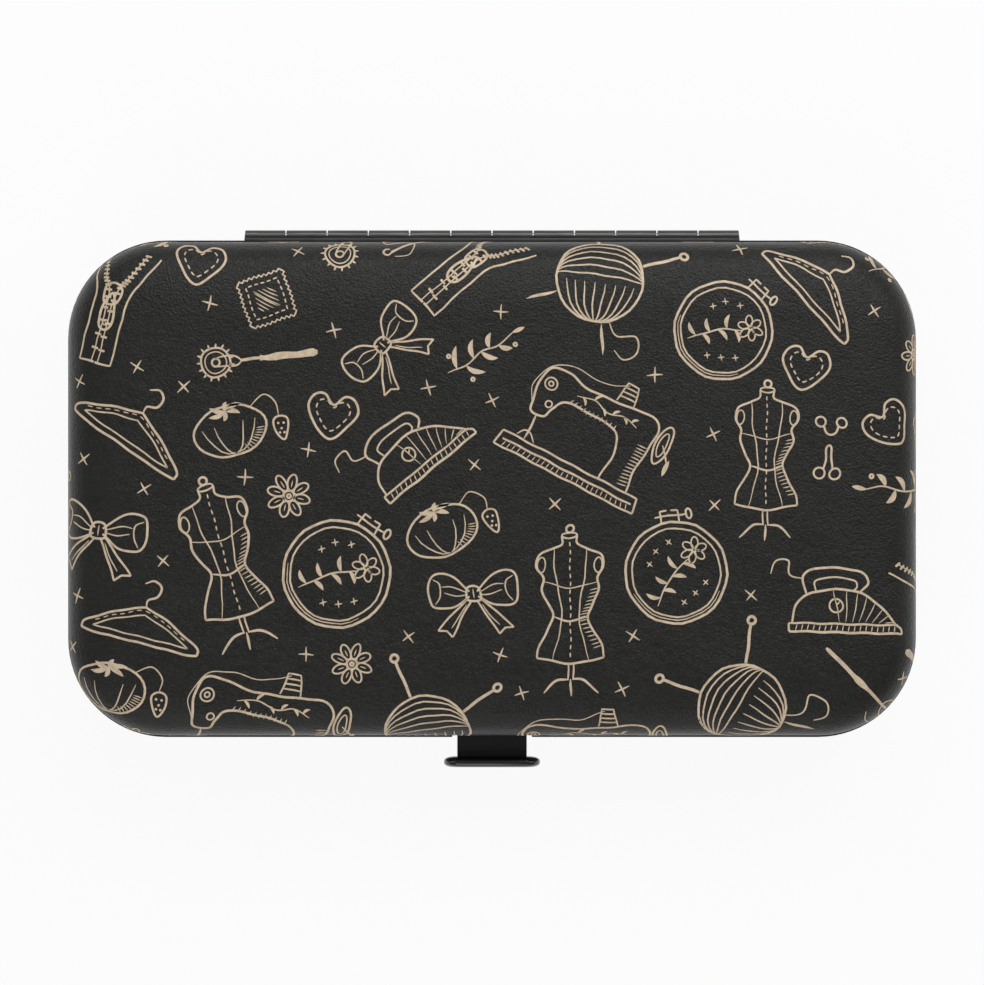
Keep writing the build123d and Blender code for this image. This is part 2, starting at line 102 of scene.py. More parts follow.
FLOOR_HALF = 3.0
FLOOR_DROP = 0.0001  # keeps the floor clear of the print under the case
FLOOR_WHITE = 0.9
FLOOR_GLOW = 0.92  # how much of the floor that the camera sees is plain white
floor_mesh = bpy.data.meshes.new("floor")
floor_corners = [(x * FLOOR_HALF, y * FLOOR_HALF, -FLOOR_DROP) for x, y in ((-1, -1), (1, -1), (1, 1), (-1, 1))]
floor_mesh.from_pydata(floor_corners, [], [(0, 1, 2, 3)])
floor = bpy.data.objects.new("floor", floor_mesh)
bpy.context.collection.objects.link(floor)
paper = bpy.data.materials.new("white_sweep")
paper.use_nodes = True
nodes, links = paper.node_tree.nodes, paper.node_tree.links
nodes["Principled BSDF"].inputs["Base Color"].default_value = (FLOOR_WHITE, FLOOR_WHITE, FLOOR_WHITE, 1)
nodes["Principled BSDF"].inputs["Roughness"].default_value = 0.9
rays = nodes.new("ShaderNodeLightPath")
share = rays.outputs["Is Camera Ray"]
for operation, ray in (("MAXIMUM", "Is Glossy Ray"), ("MAXIMUM", "Is Transmission Ray"), ("MULTIPLY", None)):
    step = nodes.new("ShaderNodeMath")
    step.operation = operation
    links.new(share, step.inputs[0])
    if ray:
        links.new(rays.outputs[ray], step.inputs[1])
    else:
        step.inputs[1].default_value = FLOOR_GLOW
    share = step.outputs[0]
blend = nodes.new("ShaderNodeMixShader")
links.new(share, blend.inputs["Fac"])
links.new(nodes["Principled BSDF"].outputs[0], blend.inputs[1])
links.new(nodes.new("ShaderNodeEmission").outputs[0], blend.inputs[2])
links.new(blend.outputs[0], nodes["Material Output"].inputs["Surface"])
floor_mesh.materials.append(paper)


# Board shells and padding
# Inside each half a pressed grey board gives the form, with a sheet of white foam on its top. Both
# are hidden between the cover and what lines the half.
class Finish:
    """A procedural material in the making, on one Principled shader. Further values of the shader are
    given by their names, with _ for a space."""

    def __init__(self, name, colour, roughness, metallic=0.0, specular=0.5, **values):
        self.material = bpy.data.materials.new(name)
        self.material.use_nodes = True
        self.nodes, self.links = self.material.node_tree.nodes, self.material.node_tree.links
        self.shader = self.nodes["Principled BSDF"]
        self.relieved = None
        values.update(Base_Color=(*colour, 1), Roughness=roughness, Metallic=metallic, Specular_IOR_Level=specular)
        for socket, value in values.items():
            self.shader.inputs[socket.replace("_", " ")].default_value = value

    def pattern(self, kind, scale, detail=2.0, stretch=(1, 1, 1)):
        """Noise, Voronoi or Wave texture that reads the piece's own coordinates, in cells per metre."""
        mapping = self.nodes.new("ShaderNodeMapping")
        mapping.inputs["Scale"].default_value = stretch
        self.links.new(self.nodes.new("ShaderNodeTexCoord").outputs["Object"], mapping.inputs["Vector"])
        made = self.nodes.new("ShaderNodeTex" + kind)
        made.inputs["Scale"].default_value = scale
        made.inputs["Detail"].default_value = detail
        self.links.new(mapping.outputs[0], made.inputs["Vector"])
        return made

    def height(self, pattern):
        """The socket that says how high a pattern is."""
        return pattern.outputs["Distance" if "Distance" in pattern.outputs else "Fac"]

    def vary(self, socket, pattern, low, high, start=0.3, end=0.7):
        """Let a value of the shader run from low to high, numbers or colours, between two heights."""
        colours = self.nodes.new("ShaderNodeValToRGB")
        self.links.new(self.height(pattern), colours.inputs["Fac"])
        for element, position, value in zip(colours.color_ramp.elements, (start, end), (low, high)):
            element.position = position
            element.color = (*np.broadcast_to(value, 3), 1)
        self.links.new(colours.outputs["Color"], self.shader.inputs[socket])

    def relief(self, pattern, depth, strength=1.0):
        """Bump of a pattern, depth in millimetres, on top of the reliefs given before."""
        made = self.nodes.new("ShaderNodeBump")
        made.inputs["Distance"].default_value = depth * MM
        made.inputs["Strength"].default_value = strength
        self.links.new(self.height(pattern), made.inputs["Height"])
        if self.relieved:
            self.links.new(self.relieved.outputs["Normal"], made.inputs["Normal"])
        self.links.new(made.outputs["Normal"], self.shader.inputs["Normal"])
        self.relieved = made
        return made


def dress(node, finish):
    """Give a CAD piece its finish."""
    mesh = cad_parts[node].data
    mesh.materials.clear()
    mesh.materials.append(finish.material)


board = Finish("grey_board", (0.36, 0.31, 0.25), 0.9)
board.vary("Base Color", board.pattern("Noise", 900, 6), (0.28, 0.24, 0.19), (0.44, 0.38, 0.31))
foam = Finish("white_foam", (0.78, 0.77, 0.72), 0.95)
foam.relief(foam.pattern("Voronoi", 2400), 0.15)
for half in ("base", "lid"):
    dress(half + "_shell", board)
    dress(half + "_padding", foam)

# Covers
# Each half is wrapped in one sheet of black leatherette with a fine pebble grain, stretched over
# the foam and tucked into the metal frame, where it is pulled in slightly along the band.
HALF_LENGTH = 85.0
HALF_WIDTH = 49.8
CORNER = 19.7
SETBACK = 0.6
EDGE_RADIUS = 6.5
CROWN_RADIUS = 50.0
CROWN_SLOPE = math.radians(12)
CORE_X = HALF_LENGTH - CORNER
CORE_Y = HALF_WIDTH - CORNER
REACH = CORNER - SETBACK
CROWN_START = REACH - EDGE_RADIUS * (1 - math.sin(CROWN_SLOPE)) - CROWN_RADIUS * math.sin(CROWN_SLOPE)
CROWN_RUN = CROWN_RADIUS * CROWN_SLOPE
EDGE_RUN = EDGE_RADIUS * (math.pi / 2 - CROWN_SLOPE)
WALL_TOP = PARTING - CROWN_RADIUS * (1 - math.cos(CROWN_SLOPE)) - EDGE_RADIUS * math.cos(CROWN_SLOPE)
BAND_HEIGHT = 4.5
TUCK_DEPTH = 0.32
TUCK_RISE = 2.4
CUT_EDGE = 0.75
CEILING = 15.6
COVER_SHEET = 0.8
CEILING_CORNER = 3.9


def cover_section(run):
    """Section of a half from the corner axis outwards, by length along it: a flat stretch, the crown
    arc, the round edge and the wall. Returns the reach, the height and the slope at each length."""
    run = np.asarray(run, float)
    crown = np.clip(run - CROWN_START, 0, CROWN_RUN)
    edge = np.clip(run - CROWN_START - CROWN_RUN, 0, EDGE_RUN)
    wall = np.clip(run - CROWN_START - CROWN_RUN - EDGE_RUN, 0, None)
    first = crown / CROWN_RADIUS
    second = CROWN_SLOPE + edge / EDGE_RADIUS
    reach = np.minimum(run, CROWN_START) + CROWN_RADIUS * np.sin(first)
    reach += EDGE_RADIUS * (np.sin(second) - math.sin(CROWN_SLOPE))
    height = PARTING - CROWN_RADIUS * (1 - np.cos(first))
    height -= EDGE_RADIUS * (math.cos(CROWN_SLOPE) - np.cos(second)) + wall
    slope = np.where(edge > 0, second, first)
    tuck = np.clip((BAND_HEIGHT + TUCK_RISE - height) / TUCK_RISE, 0, 1)
    return reach - TUCK_DEPTH * tuck ** 2, height, slope


def on_cover(flat, lift=0.0):
    """Carry points of the flat sheet onto a half: inside the core rectangle they lie flat, beyond it
    their distance from it is run along the section, outwards from the nearest point of the core."""
    flat = np.asarray(flat, float)
    core = np.stack([np.clip(flat[..., 0], -CORE_X, CORE_X), np.clip(flat[..., 1], -CORE_Y, CORE_Y)], -1)
    out = flat - core
    run = np.hypot(out[..., 0], out[..., 1])
    outward = out / np.maximum(run, 1e-9)[..., None]
    reach, height, slope = cover_section(run)
    reach = reach + lift * np.sin(slope)
    place = core + outward * reach[..., None]
    return np.concatenate([place, (height + lift * np.cos(slope))[..., None]], -1)


def grid_faces(rows, columns, looped=False):
    """Four-sided faces of a tube whose points run row by row, each row once round it. In a looped
    one the last row joins the first."""
    row, column = np.meshgrid(np.arange(rows - (not looped)), np.arange(columns), indexing="ij")
    below, beside = (row + 1) % rows, (column + 1) % columns
    corners = (row * columns + column, row * columns + beside, below * columns + beside, below * columns + column)
    return np.stack(corners, -1).reshape(-1, 4).tolist()


def skin(rows, columns):
    """Faces of a tube that is closed by a cap over its first row and one over its last row."""
    last = (rows - 1) * columns
    return grid_faces(rows, columns) + [list(range(columns))[::-1], list(range(last, last + columns))]


def turned_over(faces):
    """The same faces, seen from their other side."""
    return [face[::-1] for face in faces]


def in_half(points, half):
    """Heights above the parting plane become heights above the floor; the base hangs down from it."""
    placed = np.array(points, float)
    placed[..., 2] = PARTING + (placed[..., 2] if half == "lid" else -placed[..., 2])
    return placed


def make_piece(name, points, faces, finish, body, slot, replaced=(), flip=False, sharp=None):
    """Mesh object from points in millimetres, on its body, with its finish. Sharp is the angle in
    degrees over which an edge stays crisp."""
    points = np.asarray(points, float).reshape(-1, 3) * MM
    mesh = bpy.data.meshes.new(name)
    mesh.from_pydata(points.tolist(), [], turned_over(faces) if flip else faces)
    mesh.validate()
    mesh.polygons.foreach_set("use_smooth", np.ones(len(mesh.polygons), bool))
    if sharp is not None:
        mesh.set_sharp_from_angle(angle=math.radians(sharp))
    mesh.materials.append(finish.material)
    piece = bpy.data.objects.new(name, mesh)
    bpy.context.collection.objects.link(piece)
    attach(piece, body)
    if replaced:
        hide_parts(*replaced)
    return piece


def around(corner_steps, side_steps_x, side_steps_y):
    """Stations round the case: the nearest core point and the outward direction at each."""
    corners = np.array([(1, 1), (-1, 1), (-1, -1), (1, -1)]) * (CORE_X, CORE_Y)
    core, outward = [], []
    for turn, start in enumerate(corners):
        angles = math.pi / 2 * (turn + np.linspace(0, 1, corner_steps + 1))
        core.append(np.tile(start, (len(angles), 1)))
        outward.append(np.stack([np.cos(angles), np.sin(angles)], -1))
        steps = side_steps_x if turn % 2 == 0 else side_steps_y
        share = np.linspace(0, 1, steps + 1)[1:-1, None]
        core.append(start + share * (corners[(turn + 1) % 4] - start))
        outward.append(np.tile(outward[-1][-1], (steps - 1, 1)))
    return np.concatenate(core), np.concatenate(outward)


leather = Finish("leatherette", (0.0075, 0.0071, 0.0057), 0.32, 0, 0.36)
warp = leather.pattern("Noise", 700)
grain = leather.pattern("Voronoi", 2050)
grain.feature = "SMOOTH_F1"
grain.inputs["Smoothness"].default_value = 0.3
offset = leather.nodes.new("ShaderNodeVectorMath")
offset.operation = "MULTIPLY_ADD"
offset.inputs[1].default_value = (0.0006, 0.0006, 0.0006)
leather.links.new(warp.outputs["Color"], offset.inputs[0])
leather.links.new(grain.inputs["Vector"].links[0].from_socket, offset.inputs[2])
leather.links.new(offset.outputs[0], grain.inputs["Vector"])
leather.relief(leather.pattern("Noise", 26), 0.6, 0.5)
leather.relief(leather.pattern("Noise", 420, 5), 0.16, 0.6)
leather.relief(grain, 0.1).invert = True
leather.vary("Base Color", leather.pattern("Noise", 160, 4), (0.0055, 0.0052, 0.0040), (0.0095, 0.009, 0.0074))
leather.vary("Roughness", grain, 0.25, 0.36, 0.0, 0.6)

core, outward = around(16, 48, 24)
CROWN_END = CROWN_START + CROWN_RUN
EDGE_END = CROWN_START + CROWN_RUN + EDGE_RUN
runs = np.concatenate([np.linspace(CROWN_START, CROWN_END, 9)[:-1], np.linspace(CROWN_END, EDGE_END, 13)[:-1],
                       np.linspace(EDGE_END, EDGE_END + WALL_TOP - CUT_EDGE, 14)])
reach, height, _ = cover_section(runs)
inner_wall = REACH - COVER_SHEET
all_reach = np.concatenate([reach, [inner_wall, inner_wall, inner_wall - CEILING_CORNER, CROWN_START]])
all_height = np.concatenate([height, [CUT_EDGE, CEILING - CEILING_CORNER, CEILING, CEILING]])
shell_points = np.concatenate([core[None] + outward[None] * all_reach[:, None, None],
                               np.broadcast_to(all_height[:, None, None], (len(all_height), len(core), 1))], -1)
for half in ("base", "lid"):
    cover = make_piece(half + "_cover_leather", in_half(shell_points, half), skin(len(all_reach), len(core)), leather,
                       half, "leatherette", (half + "_cover",), flip=half == "lid", sharp=50)

# Print
# The leatherette is printed in matte pale gold ink before it is stretched over the halves: line
# drawings of things from a sewing room, strewn at all angles, that run on over the edges.
PRINT_LIFT = 0.045
LIFT_STEP = 0.005  # keeps strokes that cross apart
PRINT_SINK = 0.06
PEN = 0.82
HAND_WAVE = 0.09
PRINT_END = EDGE_END + WALL_TOP - BAND_HEIGHT + 0.9
OWN_MARGIN = 0.6  # ground that a drawing takes beyond its reach
SHEET_MARGIN = 24
BEARINGS = np.arange(24) * math.pi / 12
COMPASS = np.stack([np.cos(BEARINGS), np.sin(BEARINGS)])


def curve(knots, steps=6, closed=False):
    """Smooth line through knots: between two of them each point is the Catmull-Rom cubic of the
    four nearest, and a closed one comes back to its first knot."""
    knots = np.asarray(knots, float)
    if closed:
        spread = np.vstack([knots[-1], knots, knots[:2]])
    else:
        spread = np.vstack([2 * knots[0] - knots[1], knots, 2 * knots[-1] - knots[-2]])
    part = np.linspace(0, 1, steps, endpoint=False)[:, None]
    before, first, second, after = (spread[k:len(spread) - 3 + k, None] for k in range(4))
    line = 2 * first + (second - before) * part + (2 * before - 5 * first + 4 * second - after) * part ** 2
    line = 0.5 * (line + (3 * first - before - 3 * second + after) * part ** 3)
    return np.vstack([line.reshape(-1, 2), spread[-2]])


def oval(x, y, across, high=None, turn=0, start=0, sweep=360):
    """Arc of an ellipse about (x, y) with two half sizes, turned as a whole; angles in degrees."""
    high = across if high is None else high
    count = max(5, int(abs(sweep) / 360 * (9 + 9 * max(across, high) ** 0.5)))
    angle = np.radians(start + np.linspace(0, sweep, count))
    lean = math.radians(turn)
    run, rise = across * np.cos(angle), high * np.sin(angle)
    return np.stack([x + run * math.cos(lean) - rise * math.sin(lean),
                     y + run * math.sin(lean) + rise * math.cos(lean)], -1)


def straight(start, finish, gap=1.1):
    """Evenly spaced points on the line between two points."""
    length = math.dist(start, finish)
    return np.linspace(start, finish, max(4, int(length / gap) + 1))


def pen(line, width=0.46, ends=0.4):
    """A stroke of the pen: its line with its width, which swells as the root of a sine between ends
    that are a share of it."""
    line = np.asarray(line, float)
    swell = np.sin(np.pi * np.linspace(0, 1, len(line))) ** 0.5
    return line, width * (ends + (1 - ends) * swell)


def leaf(start, finish, width, bow=0.0):
    """A filled leaf: a bowed line whose width is a sine from tip to tip."""
    start, finish = np.asarray(start, float), np.asarray(finish, float)
    along = np.linspace(0, 1, 8)[:, None]
    aside = np.array([start[1] - finish[1], finish[0] - start[0]]) * bow
    line = start + (finish - start) * along + aside * np.sin(np.pi * along)
    return line, 0.08 + width * np.sin(np.pi * along[:, 0]) ** 0.8


def dashes(line, count, width=0.42, share=0.55):
    """Running stitches: a line cut into short strokes of even length."""
    line = np.asarray(line, float)
    steps = np.hypot(*np.diff(line, axis=0).T)
    along = np.concatenate([[0], np.cumsum(steps)])
    starts = np.linspace(0, along[-1], count, endpoint=False)
    pieces = starts[:, None] + np.linspace(0, along[-1] / count * share, 4)
    return [pen(np.stack([np.interp(piece, along, line[:, 0]), np.interp(piece, along, line[:, 1])], -1), width, 0.7)
            for piece in pieces]


def flow(knots, width=0.46, ends=0.4):
    """A smooth stroke through knots."""
    return pen(curve(knots), width, ends)


def loop(knots, width):
    """A smooth stroke of even width that closes on itself."""
    return pen(curve(knots, closed=True), width, 1)


def ring(width, *form, **arc):
    """An oval stroke of even width."""
    return pen(oval(*form, **arc), width, 1)


def bar(start, finish, width=0.46, ends=0.4):
    """A straight stroke."""
    return pen(straight(start, finish), width, ends)


def bars(pairs, width=0.46, ends=0.4):
    """Straight strokes between pairs of points."""
    return [bar(start, finish, width, ends) for start, finish in pairs]


def polar(radius, angle, x=0, y=0):
    """The point at a distance and an angle in radians from (x, y)."""
    return x + radius * math.cos(angle), y + radius * math.sin(angle)


def resampled(line, share):
    """The points of a line at shares of its count of points."""
    place = np.linspace(0, 1, len(line))
    return np.stack([np.interp(share, place, line[:, k]) for k in range(2)], -1)


def rungs(first, second, count, width=0.3):
    """Hatching: straight strokes between two lines, at even shares of each."""
    share = np.linspace(0.04, 0.96, count)
    return bars(zip(*(resampled(np.asarray(line, float), share) for line in (first, second))), width, 0.3)


def mirrored(strokes):
    """Strokes with their mirror images across the upright axis."""
    return strokes + [(line * (-1, 1), width) for line, width in strokes]


def sewing_machine():
    arm = curve([(12.6, -7.6), (12.1, -3), (12.6, 3), (12.8, 6.8), (10.4, 9), (4, 8.3), (-4, 7.9), (-8.6, 8.9),
                 (-12.6, 8.5), (-13.8, 5), (-13.4, 0.6), (-12.6, -1.5), (-9.7, -1.5), (-8.9, 0.6), (-7.6, 3),
                 (-4, 3.5), (2, 3.3), (5.5, 2.1), (6.7, -2), (6.2, -7.6)])
    vine = curve([(-5.6, 5.4), (-2, 6.4), (1.6, 5.3), (5, 6.2), (8.4, 5.2)])
    strokes = [pen(arm, 0.58, 0.8), pen(vine, 0.34)]
    strokes += bars((((-16, -7.7), (15.4, -7.7)), ((-16.4, -11), (15.8, -11)), ((-16, -7.7), (-16.4, -11)),
                     ((15.4, -7.7), (15.8, -11)), ((-15.2, -9.3), (14.8, -9.3))), 0.55, 0.8)
    for k, (x, y) in enumerate(((-4.4, 5.8), (-2, 6.4), (0.4, 5.7), (2.8, 5.6), (5, 6.2), (7, 5.6))):
        strokes.append(leaf((x, y), (x + 1.2, y + (1.3 if k % 2 else -1.3)), 0.6, 0.15))
    strokes += [ring(0.5, 14.9, 4.6, 1.5, 4.2), ring(0.34, 14.9, 4.6, 0.8, 2.7),
                bar((15, 4.6), (17.6, 1.2), 0.5), leaf((17.5, 2.4), (17.8, -1.2), 1.1),
                bar((-11.2, -1.5), (-11.2, -7.6), 0.6, 0.3), ring(0.42, -11.4, 5.3, 1.3),
                ring(0.4, -11.4, 5.3, 0.5), ring(0.4, -10, 1.2, 0.7),
                flow([(-13, -7.3), (-12, -5.8), (-10.6, -5.8), (-9, -7.2)], 0.42),
                flow([(3.4, 12.4), (-2, 10.4), (-8, 10.6), (-12.6, 9), (-14.8, 4), (-13.4, 0)], 0.26, 0.7)]
    strokes += bars((((2, 8.6), (2.8, 12.8)), ((6, 8.8), (5.2, 12.8)), ((2.7, 12.8), (5.3, 12.8)),
                     ((2.2, 9.8), (5.8, 9.8)), ((2.4, 10.8), (5.6, 10.8)), ((2.6, 11.8), (5.4, 11.8))), 0.42, 0.8)
    strokes += rungs([(12, -6.8), (12.4, 3)], [(9.9, -7), (10.3, 2.8)], 13)
    strokes += rungs([(-6.8, 3.3), (4.6, 2.7)], [(-6.2, 4.3), (4.8, 3.9)], 11, 0.26)
    strokes += rungs([(-16, -10.8), (15.4, -10.8)], [(-15.5, -9.6), (15.1, -9.6)], 26, 0.26)
    return strokes


def dress_form():
    side = curve([(1.5, 14.2), (1.5, 12.6), (3.4, 11.6), (6, 10.6), (6.6, 8.2), (5.3, 6), (5.6, 3.6), (4.3, 0.6),
                  (3.4, -1.8), (4.6, -4.6), (6.2, -7.4), (6.6, -9.8)])
    seam = curve([(3.2, 11.6), (3, 7), (1.7, -1.8), (3.6, -10.4)])
    half = [pen(side, 0.56, 0.8), pen(seam, 0.34), ring(0.34, 5.6, 8.5, 0.8, 1.5),
            flow([(0.4, -14), (2.8, -14.4), (5.4, -16.8)], 0.6), bar((0.5, -11), (0.5, -14.2), 0.42, 0.8)]
    strokes = mirrored(half)
    strokes += [flow([(-6.6, -9.8), (0, -11), (6.6, -9.8)], 0.56, 0.8), ring(0.42, 0, 14.3, 1.5, 0.55),
                ring(0.55, 0, 15.6, 0.75), flow([(-3.4, -1.8), (0, -2.6), (3.4, -1.8)], 0.5),
                flow([(-5.4, 5.2), (0, 3.9), (5.4, 5.2)], 0.3), bar((0, -14), (0, -17.4), 0.6)]
    strokes += dashes(straight((0, 13), (0, -10.4)), 15, 0.34)
    strokes += rungs(side[34:62], side[34:62] - (1.7, 0.5), 17, 0.26)
    return strokes


def yarn_ball():
    radius, lean = 8.6, math.radians(28)
    strokes = [ring(0.56, 0, 0, radius)]
    strokes += [pen(oval(0, 0, radius, radius * share, 28, 4, 172), 0.4) for share in (0.85, 0.68, 0.5, 0.31, 0.1)]
    for share in (-0.8, -0.6, -0.38, -0.14, 0.1, 0.34, 0.56, 0.76):
        strand = oval(0, 0, radius, radius * share, 118, 6, 168)
        below = strand[:, 1] * math.cos(lean) - strand[:, 0] * math.sin(lean) < 0.15
        strokes.append(pen(strand[below], 0.4))
    for side in (1, -1):
        strokes.append(bar((side * 5.4, 7.1), (side * 10.2, 13), 0.75, 0.9))
        strokes.append(ring(0.7, side * 10.7, 13.6, 0.75))
        strokes.append(bar((-side * 5.5, -7), (-side * 9.4, -11.8), 0.75, 0.1))
    strokes.append(flow([(6.4, -5.8), (9.6, -7.2), (12.6, -5), (14.6, -7.6), (13.4, -10.2), (10.6, -9.8)], 0.42))
    return strokes


def embroidery_hoop():
    strokes = [ring(0.6, 0, 0, 10.2), ring(0.42, 0, 0, 8.9), pen(oval(0, 0, 9.5, start=200, sweep=130), 0.3)]
    strokes += bars((((-1.8, 10.2), (-1.8, 12.6)), ((1.8, 10.2), (1.8, 12.6)), ((-1.8, 12.5), (-0.4, 12.5)),
                     ((1.8, 12.5), (0.4, 12.5)), ((-3, 11.5), (3.6, 11.5))), 0.46, 0.8)
    strokes.append(ring(0.5, 3.9, 11.5, 0.55, 1))
    strokes.append(flow([(-4.6, -6.2), (-2.4, -2.6), (0, 0.4), (3, 2.6)], 0.42))
    for x, y, run, rise in ((-3.8, -4.6, -2.6, 1.2), (-3, -3.4, 2.6, -0.6), (-1.9, -2, -2.4, 1.8),
                            (-0.9, -0.7, 2.8, -0.4), (0.4, 0.8, -1.6, 2.6), (1.6, 1.7, 2.4, -1.4)):
        strokes.append(leaf((x, y), (x + run, y + rise), 0.95, 0.12))
    for petal in range(6):
        angle = petal * math.pi / 3 + 0.3
        strokes.append(ring(0.36, *polar(1.5, angle, 4, 4), 1.15, 0.7, math.degrees(angle)))
    strokes.append(ring(0.5, 4, 4, 0.4))
    crosses = ((-5, 2.4), (-3.6, 4.8), (-0.8, 6.2), (5.6, -2.6), (3.4, -4.6), (0.8, -6))
    for side in (1, -1):
        strokes += bars((((x - 0.5, y - side * 0.5), (x + 0.5, y + side * 0.5)) for x, y in crosses), 0.34)
    return strokes


def coat_hanger():
    strokes = [flow([(0, 2.6), (-5, 0.8), (-11.4, -2.6), (-12.6, -4.2), (-11, -4.9), (0, -4.9), (11, -4.9),
                     (12.6, -4.2), (11.4, -2.6), (5, 0.8), (0, 2.6)], 0.6, 0.9),
               flow([(0, 0.9), (-5, -0.8), (-9.6, -3.2), (-9, -3.6), (0, -3.6), (9, -3.6), (9.6, -3.2), (5, -0.8),
                     (0, 0.9)], 0.4, 0.9),
               flow([(0, 2.6), (0, 4.2), (1.7, 5.4), (1.9, 7.4), (0.2, 8.4), (-1.5, 7.3)], 0.6)]
    return strokes + dashes(curve([(-10, -2.4), (-5, 0), (0, 1.8), (5, 0), (10, -2.4)]), 12, 0.26)


def flat_iron():
    shell = curve([(-9.6, -4.2), (-9, -0.6), (-5, 1.9), (2, 2.2), (6.8, -0.4), (10.4, -4.2)])
    strokes = [pen(shell, 0.55, 0.8), bar((-10.2, -4.2), (10.8, -4.2), 0.5, 0.8),
               bar((-10.2, -5.8), (11.6, -5.8), 0.6, 0.8), bar((-10.2, -4.2), (-10.2, -5.8), 0.5, 1),
               flow([(10.4, -4.2), (11.4, -4.8), (11.6, -5.8)], 0.5, 0.8),
               flow([(-7, 1.3), (-7.9, 4.6), (-4.6, 6.4), (2.6, 6), (4.6, 3.8), (3.2, 1.9)], 0.56, 0.8),
               flow([(-5.2, 1.9), (-5.6, 3.8), (-3, 4.6), (1.6, 4.3), (2.5, 3), (1.8, 2.2)], 0.42, 0.8),
               flow([(-7.7, 4.2), (-10.4, 5), (-10.6, 7.6), (-13, 7.4), (-14, 5)], 0.42),
               ring(0.42, -1.4, -0.8, 1.3), bar((-1.4, -0.8), (-0.7, 0), 0.36)]
    strokes += rungs(straight((-9.8, -5.6), (10.8, -5.6)), straight((-9.4, -4.4), (11, -4.4)), 18, 0.26)
    return strokes + rungs(shell[14:], straight((-1, -3.8), (8.6, -3.8)), 8, 0.26)


def open_zip():
    strokes = []
    for side in (1, -1):
        edge = curve([(side * 4.6, 11), (side * 2.4, 6), (side * 0.6, 1.6), (side * 0.6, -11)])
        strokes.append(pen(edge, 0.3, 0.8))
        strokes.append(pen(edge + (side * 2.6, 0), 0.46, 0.8))
        strokes.append(bar((side * 3.2, -11), (side * 0.4, -11), 0.46, 0.8))
        at = np.linspace(0, len(edge) - 1, 17 if side > 0 else 16)
        teeth = np.stack([np.interp(at, np.arange(len(edge)), edge[:, k]) for k in range(2)], -1)
        strokes += [bar(tooth + (-side * 0.5, 0), tooth + (side * 0.7, 0), 0.55, 0.9) for tooth in teeth]
    strokes += [loop([(-1.6, 3.4), (0, 4.4), (1.6, 3.4), (1.2, 0.6), (-1.2, 0.6)], 0.5),
                loop([(0, 2.4), (1.1, 0), (1.2, -3.6), (0, -4.6), (-1.2, -3.6), (-1.1, 0)], 0.55),
                ring(0.3, 0, -3.2, 0.5)]
    return strokes


def ribbon_bow():
    half = [flow([(0.8, 0.6), (4, 3.9), (8, 4.5), (9.2, 1.6), (8.4, -2), (4.6, -2.4), (0.9, -0.4)], 0.55, 0.8),
            flow([(1.2, 0.4), (4, 1.8), (6.4, 1.8)], 0.32), flow([(1.2, 0), (3.6, 0), (6, 0.6)], 0.32),
            flow([(8.2, 3.6), (6.8, 2.4), (6.9, 0), (8, -1.6)], 0.36),
            flow([(0.5, -1.2), (2.6, -4.4), (4.8, -8.4)], 0.5, 0.8),
            flow([(1.4, -0.9), (4.6, -3.8), (7.8, -7)], 0.5, 0.8),
            pen([(4.8, -8.4), (6, -7.2), (7.8, -7)], 0.5, 1), flow([(1.6, -2), (3.4, -4.6), (5, -6.6)], 0.3)]
    return mirrored(half) + [loop([(-1.1, 1.4), (1.1, 1.4), (1.3, -1.1), (-1.3, -1.1)], 0.55),
                             bar((0, 1.1), (0, -0.8), 0.32)]


def pincushion():
    strokes = [ring(0.56, 0, -1, 7.6, 5.2)]
    for start, sweep in ((200, 68), (340, -68)):
        strokes += [pen(oval(0, 3.6, share * 7.6, 9.4, start=start, sweep=sweep), 0.36) for share in (0.78, 0.42)]
    for k in range(6):
        angle = math.radians(18 + 60 * k)
        strokes.append(leaf((0, 3.2), (3.9 * math.cos(angle), 3.2 + 1.9 * math.sin(angle)), 1.1, 0.1))
    strokes += [flow([(5, 2.6), (8.4, 4.4), (10.6, 2.2), (10.4, -0.6)], 0.36),
                loop([(9, -1.4), (10.4, -0.6), (11.9, -1.4), (11.6, -3.8), (10.4, -5.6), (9.2, -3.8)], 0.5)]
    strokes += [ring(0.3, x, y, 0.14) for x, y in ((9.9, -2), (11, -2.2), (10.4, -3.2), (9.9, -4), (10.8, -4.2))]
    rim, inner = (oval(0, -1, across, high, start=290, sweep=60) for across, high in ((7.4, 5), (5.6, 3.6)))
    return strokes + rungs(rim, inner, 9, 0.26)


def leafy_sprig():
    stem = curve([(-0.6, -8), (0.2, -4), (-0.2, 0), (0.8, 4), (0.4, 8)])
    strokes = [pen(stem, 0.42)]
    for k in range(6):
        x, y = stem[3 + 3 * k]
        side = 1 if k % 2 else -1
        strokes.append(leaf((x, y), (x + side * (4 - 0.35 * k), y + 2.6 - 0.15 * k), 1.25, side * -0.14))
    strokes.append(leaf((0.4, 7.6), (0.8, 10.4), 1))
    return strokes + [ring(0.5, x, y, 0.35) for x, y in ((3.4, -4.6), (-3.4, -6), (2.8, 6.8))]


def crochet_hook():
    line = straight((-12, 0), (10.4, 0), 0.8)
    widths = np.interp(line[:, 0], [-12, -11.4, -4, -2.6, -1.2, 0, 9, 10.4], [0.5, 1, 1, 1.7, 1.5, 0.85, 0.6, 0.75])
    barb = curve([(10.2, 0.05), (11.5, 0.15), (11.8, -0.75), (10.9, -1.2), (10.1, -0.8)])
    yarn = curve([(10.6, 1.1), (8, 2.6), (5.4, 0.6), (6.8, -1.8), (9.6, -2.6), (8.8, -4.8), (5.4, -5), (3.6, -3.4)])
    return [(line, widths), pen(barb, 0.55), pen(yarn, 0.34)]


